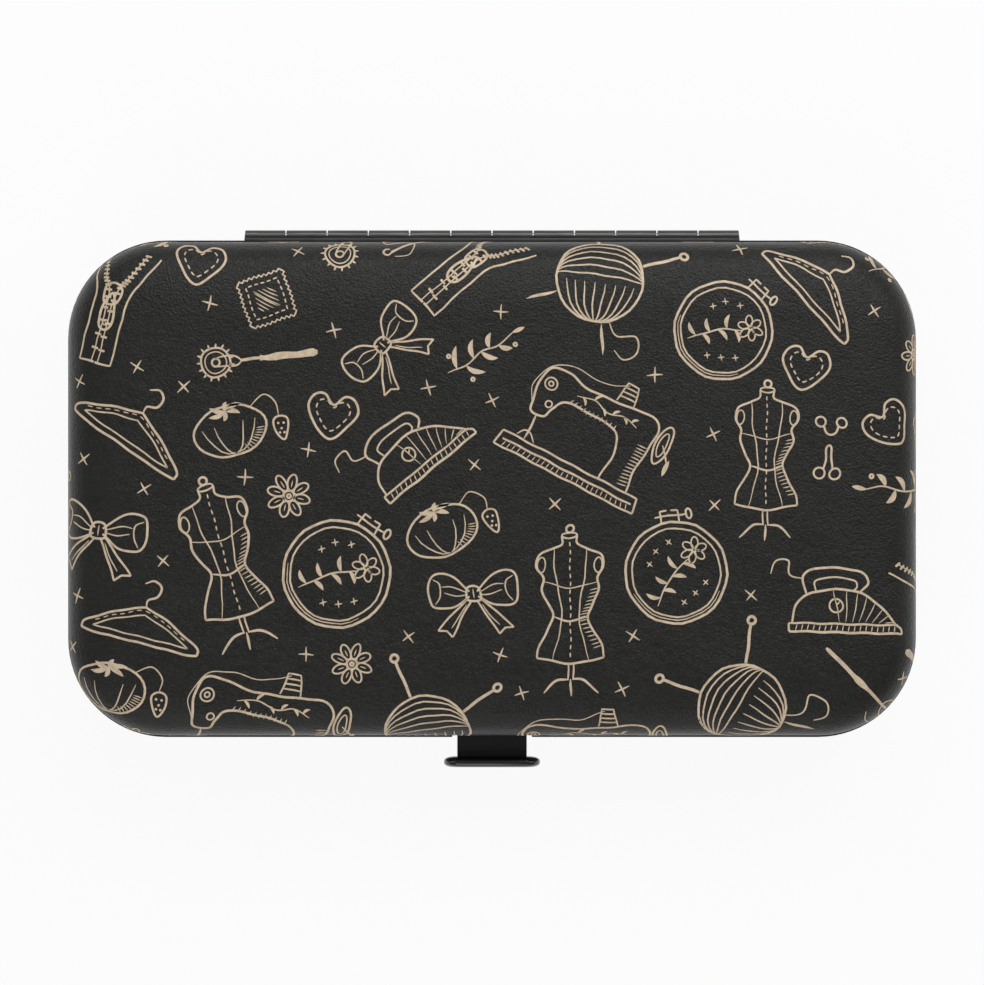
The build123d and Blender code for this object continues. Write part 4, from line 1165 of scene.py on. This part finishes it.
coil = np.stack([TAPE_X + strip_radius * np.cos(turn)[:, None], TAPE_Y + strip_radius * np.sin(turn)[:, None],
                 strip_height], -1)
make_piece("rolled_tape", coil, skin(len(turn), len(strip)), tape, "base", "tape_cloth", ("tape_measure",), sharp=50)
tip_turn = turn[-1] - np.linspace(-0.02, 0.30, 12)
clip_section = np.array([(-0.42, 0), (0.42, 0), (0.42, 1), (-0.42, 1)])
clip_radius = TAPE_RADIUS + clip_section[:, 0]
clip_height = TAPE_LOW + 0.1 + (TAPE_HIGH + 0.12 - TAPE_LOW - 0.1) * clip_section[:, 1]
clip = np.stack([TAPE_X + clip_radius * np.cos(tip_turn)[:, None], TAPE_Y + clip_radius * np.sin(tip_turn)[:, None],
                 np.broadcast_to(clip_height, (12, 4))], -1)
tip = make_piece("tape_tip", clip, skin(12, 4), nickel, "base", "tape_cloth", flip=True, sharp=40)
softened(tip, 0.08)

# Scissors
# Two blades of ground steel turn on a slotted screw. Their tangs are moulded into black plastic
# finger rings, oval and rounded all over.
PIVOT_X, PIVOT_Y = -22.3, -1.8
BLADE_LENGTH = 40.0
BLADE_HALF = 4.0
BLADE_SHEET = 1.2
LOWER_BLADE, UPPER_BLADE = 12.75, 14.05
RING_X, RING_SPREAD = -37.0, 12.0
RING_HALF = (12.9, 8.9)
RING_LOW, RING_HIGH = 11.5, 16.5
SCREW_RADIUS, SCREW_LOW, SCREW_SHOULDER = 2.2, 13.2, 15.25
SLOT = 0.3
ground = Finish("ground_steel", (0.46, 0.46, 0.47), 0.34, 1.0)
grinding = ground.pattern("Noise", 2600, 3, (0.12, 1.6, 1))
ground.vary("Roughness", grinding, 0.31, 0.38)
ground.relief(grinding, 0.002, 0.4)
plastic = Finish("black_plastic", (0.018, 0.018, 0.019), 0.38)
moulded = plastic.pattern("Noise", 1900, 3)
plastic.relief(moulded, 0.02, 0.5)
plastic.vary("Roughness", moulded, 0.32, 0.46)


def blade_shape(side, low, bevel_up):
    """A blade from its round heel to its point: at each station the section runs from the spine over
    the flat to the start of the ground bevel, which slopes down to the edge. The heel is half an
    ellipse, and the edge draws in by a power of the length."""
    along = np.linspace(0, 1, 44)
    x = -BLADE_HALF + (BLADE_LENGTH + BLADE_HALF) * along ** 1.3
    heel = np.sqrt(np.clip(1 - (np.minimum(x, 0) / (1.02 * BLADE_HALF)) ** 2, 0, 1))
    edge = -side * BLADE_HALF * heel * np.clip(1.02 - np.clip(x / BLADE_LENGTH, 0, 1) ** 3.2, 0.015, 1)
    spine = side * heel * np.interp(x, [-4, 4, 14, BLADE_LENGTH], [3.9, 1.9, 0.8, 0.0])
    start = edge + (spine - edge) * 0.34
    top = low + BLADE_SHEET
    back, bevel_top, edge_height = (low, top, low + 0.12) if bevel_up else (top, low, top - 0.12)
    corners = ((spine, back), (spine, bevel_top), (start, bevel_top), (edge, edge_height), (edge, back))
    rows = np.stack([np.stack([x, y, np.full_like(x, z)], -1) for y, z in corners], 1)
    return rows.reshape(-1, 3), turned_over(skin(len(x), len(corners)))


def bar_between(start, finish, half_widths, low, high):
    """Flat bar from one point to another in plan, with a half width at each end."""
    start, finish = np.array(start, float), np.array(finish, float)
    aside = np.array([start[1] - finish[1], finish[0] - start[0]])
    aside /= np.hypot(*aside)
    corners = np.array([start + aside * half_widths[0], start - aside * half_widths[0],
                        finish - aside * half_widths[1], finish + aside * half_widths[1]])
    return prism(corners, low, high, axis=2)


def swollen(angle, wave, power):
    """A sine or cosine whose size is raised to a power under one, which makes its oval fuller."""
    return np.sign(wave(angle)) * np.abs(wave(angle)) ** power


def finger_ring(side):
    """Oval ring: a round-cornered section carried along an oval, with its inner side fuller."""
    stations, sides = 96, 20
    along = np.linspace(0, 2 * math.pi, stations, endpoint=False)
    centre = np.stack([RING_X + RING_HALF[0] * swollen(along, np.cos, 0.92),
                       side * RING_SPREAD + RING_HALF[1] * swollen(along, np.sin, 0.92)], -1)
    ahead = np.roll(centre, -1, 0) - np.roll(centre, 1, 0)
    ahead /= np.hypot(ahead[:, 0], ahead[:, 1])[:, None]
    outward = np.stack([ahead[:, 1], -ahead[:, 0]], -1)
    angle = np.linspace(0, 2 * math.pi, sides, endpoint=False)
    plan = centre[:, None] + outward[:, None] * (2.05 * swollen(angle, np.cos, 0.7))[None, :, None]
    height = (RING_LOW + RING_HIGH) / 2 + 2.45 * swollen(angle, np.sin, 0.7)
    points = np.concatenate([plan, np.broadcast_to(height[None, :, None], (stations, sides, 1))], -1)
    return points.reshape(-1, 3), grid_faces(stations, sides, True)


for name, side, low, bevel_up in (("lower", 1, LOWER_BLADE, False), ("upper", -1, UPPER_BLADE, True)):
    tang = bar_between((1.0, 0), (-24.3, side * 11.1), (3.2, 1.9), low + 0.02, low + BLADE_SHEET - 0.02)
    points, faces = gather([blade_shape(side, low, bevel_up), tang])
    blade = make_piece(name + "_blade", points + (PIVOT_X, PIVOT_Y, 0), faces, ground, "base", "scissor_steel",
                       ("scissor_blade_" + name,), sharp=20)
    softened(blade, 0.05)
grips = []
for side in (1, -1):
    neck = [(-18.2, side * 8.3, 14), (-19, side * 8.7, 14), (-21.5, side * 9.8, 14), (-23.4, side * 10.8, 14),
            (-24.6, side * 11.6, 14)]
    grips += [finger_ring(side), tube(neck, [1.6, 2.1, 2.4, 2.3, 1.5], 20)]
points, faces = gather(grips)
make_piece("finger_rings", points + (PIVOT_X, PIVOT_Y, 0), faces, plastic, "base", "scissor_plastic",
           ("scissor_grips",), sharp=60)
across = np.linspace(0.02, 1, 20)[::-1]
screw_profile = np.vstack([[(SCREW_RADIUS, SCREW_LOW)],
                           np.stack([SCREW_RADIUS * across, SCREW_SHOULDER + 0.35 * (1 - across ** 3)], -1)])
screw_points, screw_faces = lathe(screw_profile, 64)
slotted = (np.abs(screw_points[:, 1]) < SLOT) & (screw_points[:, 2] > SCREW_SHOULDER - 0.05)
screw_points[slotted, 2] -= SLOT
make_piece("pivot_screw", screw_points + (PIVOT_X, PIVOT_Y, 0), screw_faces, ground, "base", "scissor_steel",
           ("scissor_screw",), sharp=35)

# Buttons
# Three polished plastic buttons, turned with a raised rim round a dished middle that has four
# thread holes.
BUTTON_X = (39.8, 51.3, 62.8)
BUTTON_Y = -37.35
BUTTON_LOW = 8.5
BUTTON_RADIUS = 4.45
BUTTON_COLOURS = {"cream": (0.72, 0.62, 0.45), "horn": (0.13, 0.055, 0.02), "pearl": (0.75, 0.74, 0.72)}


def pierced(points, above, turn, distance, radius, edge, depth):
    """Sink four sewing holes, evenly spaced from an angle on, into what lies above a level: their
    depth falls off from full to none over the width of their edge."""
    for quarter in range(4):
        angle = turn + quarter * math.pi / 2
        away = np.hypot(points[:, 0] - distance * math.cos(angle), points[:, 1] - distance * math.sin(angle))
        points[:, 2] -= np.where(points[:, 2] > above, depth * np.clip((radius - away) / edge, 0, 1), 0)


reach = np.concatenate([[0.02], np.linspace(0.15, 3.0, 34), np.linspace(3.1, BUTTON_RADIUS, 16)])
face_height = 1.55 + 0.6 * np.exp(-((reach - 3.75) / 0.62) ** 2) - 0.5 * np.clip((reach - 4.0) / 0.45, 0, 1) ** 2
turned_button = np.vstack([[(0.02, 0.0), (3.9, 0.0), (BUTTON_RADIUS, 0.7)], np.stack([reach, face_height], -1)[::-1]])
for number, (tint, colour) in enumerate(BUTTON_COLOURS.items()):
    points, faces = lathe(turned_button, 84)
    pierced(points, 1.0, math.pi / 4, 1.05, 0.56, 0.1, 1.45)
    polished = Finish("button_" + tint, colour, 0.14, Coat_Weight=0.4)
    swirl = polished.pattern("Noise", 320, 4, (1, 3, 1))
    polished.vary("Base Color", swirl, [0.62 * part for part in colour], colour, 0.35, 0.65)
    make_piece("button_" + tint, points + (BUTTON_X[number], BUTTON_Y, BUTTON_LOW), faces, polished, "base",
               "button_plastic", ("buttons",) if number == 0 else (), sharp=50)

# Press studs and safety pins
# Loose in the front left pocket: nickel plated press studs with a knob and four sewing holes, and
# two safety pins of bent wire, coiled once at the end and shut in a folded cap.
POCKET_FLOOR = 8.5
WIRE = 0.34
reach = np.concatenate([[0.02], np.linspace(0.1, 0.9, 8), np.linspace(1.0, 3.5, 34)])
stud_top = 0.5 + 0.55 * np.clip(1 - (reach / 0.95) ** 4, 0, 1) ** 0.5 + 0.18 * np.exp(-((reach - 1.55) / 0.2) ** 2)
stud_top = stud_top + 0.22 * np.exp(-((reach - 3.15) / 0.28) ** 2) - 0.3 * np.clip((reach - 3.25) / 0.25, 0, 1) ** 2
stud_profile = np.vstack([[(0.02, 0.0), (3.3, 0.0), (3.5, 0.15)], np.stack([reach, stud_top], -1)[::-1]])
studs = []
for x, y, spun in ((-30.2, -39.0, 0.3), (-23.4, -36.6, 1.1), (-17.0, -38.9, 0.7)):
    points, faces = lathe(stud_profile, 72)
    pierced(points, 0.3, spun, 2.4, 0.5, 0.09, 0.42)
    studs.append((points + (x, y, POCKET_FLOOR), faces))
make_piece("press_studs", *gather(studs), nickel, "base", "tool_steel", sharp=50)
wires, caps = [], []
coiled = np.radians(np.linspace(-90, 450, 40))
wire_path = np.concatenate([
    np.stack([np.linspace(0, 21.6, 24), np.full(24, 0.0), np.full(24, WIRE)], -1),
    np.stack([22 + 1.5 * np.cos(coiled), 1.5 + 1.5 * np.sin(coiled),
              WIRE + 0.7 * (coiled - coiled[0]) / np.ptp(coiled)], -1),
    np.stack([np.linspace(21.6, 0.2, 24), np.linspace(3.05, 4.3, 24), np.linspace(3 * WIRE, 1.8 * WIRE, 24)], -1)])
cap_side = curve([(3.4, -0.9), (0.4, -1.1), (-2.2, 0.2), (-2.9, 2.1), (-2.2, 4.0), (0.4, 5.3), (3.0, 5.1)], 5)
cap_points, cap_faces = prism(cap_side[::-1], 0.02, 1.3, axis=2)
for x, y, degrees in ((-65.4, -41.3, -1.0), (-37.4, -33.3, 179.0)):
    spin = np.radians(degrees)
    turning = np.array([[math.cos(spin), math.sin(spin), 0], [-math.sin(spin), math.cos(spin), 0], [0, 0, 1]])
    points, faces = tube(wire_path, WIRE, 10)
    wires.append((points @ turning + (x, y, POCKET_FLOOR), faces))
    caps.append((cap_points @ turning + (x, y, POCKET_FLOOR), cap_faces))
make_piece("safety_pin_wires", *gather(wires), nickel, "base", "tool_steel", sharp=60)
softened(make_piece("safety_pin_caps", *gather(caps), nickel, "base", "tool_steel", sharp=35), 0.45, 3)

# Latch springs
# Two coil springs of steel wire push the latch plate forwards, and are pressed together when the
# thumb bar is pushed. Their back ends rest against the housing.
SPRING_X = 6.4
SPRING_Z = 15.0
SPRING_FRONT, SPRING_BACK = -34.0, -29.6
SPRING_TURNS = 6.5
SPRING_RADIUS, SPRING_WIRE = 0.9, 0.17
turn = np.linspace(0, SPRING_TURNS * 2 * math.pi, 240)
rise = np.clip((turn / turn[-1] - 0.08) / 0.84, 0, 1)
springs = []
for side in (-1, 1):
    coil = np.stack([side * SPRING_X + SPRING_RADIUS * np.cos(turn),
                     SPRING_FRONT + 0.2 + (SPRING_BACK - SPRING_FRONT - 0.4) * rise,
                     SPRING_Z + SPRING_RADIUS * np.sin(turn)], -1)
    springs.append(tube(coil, SPRING_WIRE))
coils = make_piece("spring_coils", *gather(springs), steel, "base", "spring_steel", ("latch_springs",), sharp=60)
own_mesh(coils)

# Seam ripper
# A six-sided handle of moulded pale gold plastic with turned grooves for the fingers, and a forked
# steel blade under a clear cap. A red bead sits on the blade's short point.
RIPPER_Y = 16.0
RIPPER_Z = 25.85
HANDLE_X = (-72.0, -22.0)
HANDLE_RADIUS = 3.0
FORK_HALF = 0.38
gold_plastic = Finish("gold_plastic", (0.55, 0.37, 0.20), 0.3, Coat_Weight=0.25)
shimmer = gold_plastic.pattern("Noise", 260, 4, (0.3, 1, 1))
gold_plastic.vary("Base Color", shimmer, (0.45, 0.29, 0.15), (0.60, 0.42, 0.24))
along = np.concatenate([np.linspace(0, 1.4, 7), np.linspace(1.6, 28, 30), np.linspace(28.2, 45, 130),
                        np.linspace(45.2, 50, 14)])
rolled = 1 - np.clip(1 - along / 1.3, 0, 1) ** 2 * 0.28 - np.clip((along - 47.6) / 2.4, 0, 1) ** 2 * 0.32
grooved = 0.06 * (np.sin(np.clip((along - 29.5) / 14.5, 0, 1) * 8 * 2 * math.pi - math.pi / 2) + 1)
angle = np.radians(np.arange(0, 360, 5))
facing = (angle + math.pi / 6) % (math.pi / 3) - math.pi / 6
six = np.minimum(1 / np.cos(facing), 1.105) * HANDLE_RADIUS
handle = np.stack([np.broadcast_to((HANDLE_X[0] + along)[:, None], (len(along), len(angle))),
                   RIPPER_Y + six * np.sin(angle) * (rolled * (1 - grooved))[:, None],
                   RIPPER_Z + six * np.cos(angle) * (rolled * (1 - grooved))[:, None]], -1)
make_piece("ripper_handle", handle, skin(len(along), len(angle)), gold_plastic, "lid", "ripper_plastic",
           ("seam_ripper_handle",), flip=True, sharp=70)

long_side = curve([(-22, -0.95), (-13.5, -1.0), (-9.5, -1.7), (-4, -1.75), (1.9, -1.25)], 5)
long_back = curve([(1.9, -1.1), (-3, -0.85), (-7.2, -0.5), (-8.4, 0.25), (-7.4, 0.95), (-3.6, 1.35)], 5)
short_side = curve([(-3.4, 1.75), (-9.5, 1.7), (-13.5, 1.0), (-22, 0.95)], 5)
points, faces = prism(np.vstack([long_side, long_back, short_side]), RIPPER_Z - FORK_HALF, RIPPER_Z + FORK_HALF,
                      axis=2)
fork = make_piece("ripper_fork", points + (0, RIPPER_Y, 0), faces, ground, "lid", "tool_steel",
                  ("seam_ripper_blade",), sharp=30)
softened(fork, 0.1)
bead_red = Finish("red_bead", (0.5, 0.02, 0.02), 0.2)
bead_red.vary("Base Color", bead_red.pattern("Noise", 700), (0.42, 0.012, 0.015), (0.55, 0.025, 0.02))
points, faces = ball((-3.3, RIPPER_Y + 1.5, RIPPER_Z), 0.62, 20)
make_piece("ripper_bead", points, faces, bead_red, "lid", "ripper_plastic", sharp=70)
softened_copy("seam_ripper_cap", "clear_ripper_cap", clear, "lid", 0.35)

# Tweezers
# One strip of spring steel is bent round at the left end, so that its two arms stand open there
# and meet at the points. The outer arm has cross ridges for the fingers.
TWEEZER_Y = -16.0
TWEEZER_END, TWEEZER_TIP = -72.0, 16.0
TWEEZER_TOP = 28.45
TWEEZER_BOTTOM = 26.25
BEND_X = TWEEZER_END + 1.5
BEND_RADIUS = 1.1
RIDGES_START, RIDGES_END = -30, -4
upper_run = np.linspace(TWEEZER_TIP, BEND_X, 60)
bend = np.radians(np.linspace(80, -80, 13))
lower_run = np.concatenate([np.linspace(BEND_X, RIDGES_START, 24)[:-1],
                            np.linspace(RIDGES_START, RIDGES_END, 261)[:-1],
                            np.linspace(RIDGES_END, TWEEZER_TIP, 20)])
middle_z = (TWEEZER_TOP + TWEEZER_BOTTOM) / 2
part = (lower_run - TWEEZER_END) / (TWEEZER_TIP - TWEEZER_END)
lower_z = TWEEZER_BOTTOM + 1.38 * part ** 1.6
line = np.concatenate([
    np.stack([upper_run, np.full_like(upper_run, TWEEZER_TOP)], -1),
    np.stack([BEND_X - BEND_RADIUS * np.cos(bend), middle_z + BEND_RADIUS * np.sin(bend)], -1),
    np.stack([lower_run, lower_z], -1)])
outward = -square_to(line)
half_width = np.interp(line[:, 0], [-72, -28, 6, 16], [4.0, 4.0, 1.5, 0.55])
on_lower = np.arange(len(line)) >= len(upper_run) + len(bend)
wave = np.clip((line[:, 0] + 27) / 20, 0, 1) * 16 * 2 * math.pi
ridge = np.where(on_lower, 0.07 * (1 - np.cos(wave)), 0)
half_sheet, chamfer = 0.37, 0.12
strip = np.array([(-1, 0, -0.68), (-1, 1, -1), (1, 1, -1), (1, 0, -0.68), (1, 0, 0.68), (1, 1, 1), (-1, 1, 1),
                  (-1, 0, 0.68)])
lift = half_sheet * strip[:, 2][None] + np.where(strip[:, 2] > 0.9, 1, 0)[None] * ridge[:, None]
aside = (half_width[:, None] - chamfer * strip[:, 1][None]) * strip[:, 0][None]
tweezer_points = np.stack([line[:, :1] + outward[:, :1] * lift, TWEEZER_Y + aside,
                           line[:, 1:] + outward[:, 1:] * lift], -1)
make_piece("tweezer_strip", tweezer_points, skin(len(line), len(strip)), ground, "lid", "tool_steel", ("tweezers",),
           sharp=25)

# Elastic bands
# Bands of black ribbed elastic are stretched over the seam ripper and the tweezers, and stitched
# through the panel at both ends with pale gold thread.
BAND_X = (-59.5, -34.5)
BAND_HALF = 4.5
PANEL_LOW = 28.9
RIBBON_HALF = 0.3
STITCH_HIGH, STITCH_LOW = 28.4, 28.2
elastic = Finish("ribbed_elastic", (0.022, 0.022, 0.023), 0.75, Sheen_Weight=0.3)
rib = elastic.pattern("Wave", 620)
rib.wave_profile = "SIN"
rib.bands_direction = "X"
cross = elastic.pattern("Wave", 900)
cross.bands_direction = "Y"
cross.inputs["Distortion"].default_value = 1.5
elastic.relief(rib, 0.12, 0.8)
elastic.relief(cross, 0.05, 0.7)
# The base colour follows the ribs' relief: painted highlight on the rib tops and painted shade in the troughs between
# them.
elastic.vary("Base Color", rib, (0.010, 0.010, 0.010), (0.034, 0.034, 0.036), 0.2, 0.8)
OVER_RIPPER = [(-8.3, 28.58), (-6.4, 28.58), (-4.9, 28.5), (-4.3, 27.9), (-4.15, 26.8), (-3.85, 25.4), (-2.6, 23.0),
               (-1.9, 22.42), (0, 22.32), (1.9, 22.42), (2.6, 23.0), (3.85, 25.4), (4.15, 26.8), (4.3, 27.9),
               (4.9, 28.5), (6.4, 28.58), (8.3, 28.58)]
OVER_TWEEZERS = [(-8.9, 28.58), (-7.2, 28.58), (-5.6, 28.45), (-4.85, 27.8), (-4.55, 26.7), (-4.1, 25.75),
                 (-2.6, 25.35), (0, 25.3), (2.6, 25.35), (4.1, 25.75), (4.55, 26.7), (4.85, 27.8), (5.6, 28.45),
                 (7.2, 28.58), (8.9, 28.58)]
ribbon_section = np.array([(-1, -0.5), (-0.97, -1), (0.97, -1), (1, -0.5), (1, 0.5), (0.97, 1), (-0.97, 1),
                           (-1, 0.5)])
bands, stitches = [], []
for band_x in BAND_X:
    for middle_y, knots in ((RIPPER_Y, OVER_RIPPER), (TWEEZER_Y, OVER_TWEEZERS)):
        path = curve(knots, 6)
        normal = square_to(path)
        narrowed = BAND_HALF - 0.25 * np.exp(-((path[:, 1] - PANEL_LOW) / 2.5) ** 2)
        lift = RIBBON_HALF * ribbon_section[:, 1]
        band = np.stack([band_x + narrowed[:, None] * ribbon_section[:, 0][None],
                         middle_y + path[:, :1] + normal[:, :1] * lift, path[:, 1:] + normal[:, 1:] * lift], -1)
        bands.append((band, skin(len(path), len(ribbon_section))))
        for y in (middle_y + (knots[0][0] + 1.0), middle_y + (knots[-1][0] - 1.0)):
            for x in band_x + np.linspace(-3.6, 3.2, 8):
                stitches.append(tube([(x, y, STITCH_HIGH), (x + 0.2, y, STITCH_LOW), (x + 0.5, y, STITCH_LOW),
                                      (x + 0.7, y, STITCH_HIGH)], 0.13, 6))
make_piece("elastic_loops", *gather(bands), elastic, "lid", "elastic", ("elastic_bands",), flip=True, sharp=50)
gold_thread = Finish("gold_thread", (0.52, 0.36, 0.20), 0.5, Sheen_Weight=0.4)
gold_thread.vary("Base Color", gold_thread.pattern("Noise", 4000), (0.36, 0.24, 0.13), (0.60, 0.43, 0.25))
make_piece("band_stitches", *gather(stitches), gold_thread, "lid", "thread", sharp=60)

# Needle card
# A leaf of pinked wool felt is glued to the panel. Sewing needles of several lengths are pushed
# in and out of it, with their eyes towards the hinge.
CARD_X = (38.0, 72.0)
CARD_Y = (-26.0, 26.0)
CARD_LOW = 27.6
PINK_DEPTH = 0.9
EYE_Y = 20.5
NEEDLE_PITCH = 4.0
felt = Finish("wool_felt", (0.40, 0.26, 0.16), 0.95, 0, 0.1, Sheen_Weight=0.5, Sheen_Roughness=0.5)
felt.vary("Base Color", felt.pattern("Noise", 180, 4), (0.33, 0.205, 0.12), (0.46, 0.31, 0.19))
felt.relief(felt.pattern("Noise", 1300, 6, (1, 0.35, 1)), 0.25, 0.9)


def pinked(low, high, count):
    """Zigzag along one edge from low to high: every other point stands in by the pinking depth."""
    along = np.linspace(low, high, 2 * count + 1)
    return along, PINK_DEPTH * (np.arange(2 * count + 1) % 2)


run_x, in_x = pinked(CARD_X[0] + PINK_DEPTH, CARD_X[1] - PINK_DEPTH, 13)
run_y, in_y = pinked(CARD_Y[0] + PINK_DEPTH, CARD_Y[1] - PINK_DEPTH, 20)
card_edge = np.vstack([
    np.stack([run_x, CARD_Y[0] + in_x], -1)[:-1], np.stack([CARD_X[1] - in_y, run_y], -1)[:-1],
    np.stack([run_x[::-1], CARD_Y[1] - in_x], -1)[:-1], np.stack([CARD_X[0] + in_y, run_y[::-1]], -1)[:-1]])
levels = np.array([CARD_LOW, CARD_LOW + 0.15, PANEL_LOW - 0.05])
shrink = np.array([0.994, 1.0, 1.0])
middle = np.array([(CARD_X[0] + CARD_X[1]) / 2, (CARD_Y[0] + CARD_Y[1]) / 2])
felt_points = np.concatenate([
    np.concatenate([middle + (card_edge - middle) * share, np.full((len(card_edge), 1), level)], -1)
    for level, share in zip(levels, shrink)])
make_piece("felt_leaf", felt_points, skin(len(levels), len(card_edge)), felt, "lid", "felt", ("needle_card",),
           sharp=35)
needle_shapes = []
for number, (length, thick) in enumerate(((42, 0.42), (40, 0.4), (38, 0.37), (36, 0.35), (33, 0.33), (31, 0.3),
                                          (28, 0.28))):
    x = CARD_X[0] + 5.0 + NEEDLE_PITCH * number
    down = np.concatenate([np.linspace(0, 0.12, 13)[:-1], np.linspace(0.12, 1, 52)])
    y = EYE_Y - length * down
    woven = np.cos((y - EYE_Y + 2) / 18 * 2 * math.pi)
    z = CARD_LOW - 0.1 + 0.62 * np.clip(-woven * 1.4, -0.55, 1)
    radius = thick * np.interp(down, [0, 0.03, 0.14, 0.2, 0.75, 1], [0.55, 0.9, 1.05, 1.0, 0.95, 0.12])
    needle_path = np.stack([np.full_like(y, x) + 0.15 * np.sin(number * 2.1), y, z], -1)
    needle, needle_faces = tube(needle_path, radius, 10)
    rings = needle.reshape(len(down), 10, 3)
    eye = ((down > 0.02) & (down < 0.09))[:, None] & np.isin(np.arange(10), (2, 3, 7, 8))
    rings = np.where(eye[..., None], needle_path[:, None] + 0.15 * (rings - needle_path[:, None]), rings)
    needle_shapes.append((rings, needle_faces))
make_piece("needles", *gather(needle_shapes), steel, "lid", "tool_steel", sharp=60)
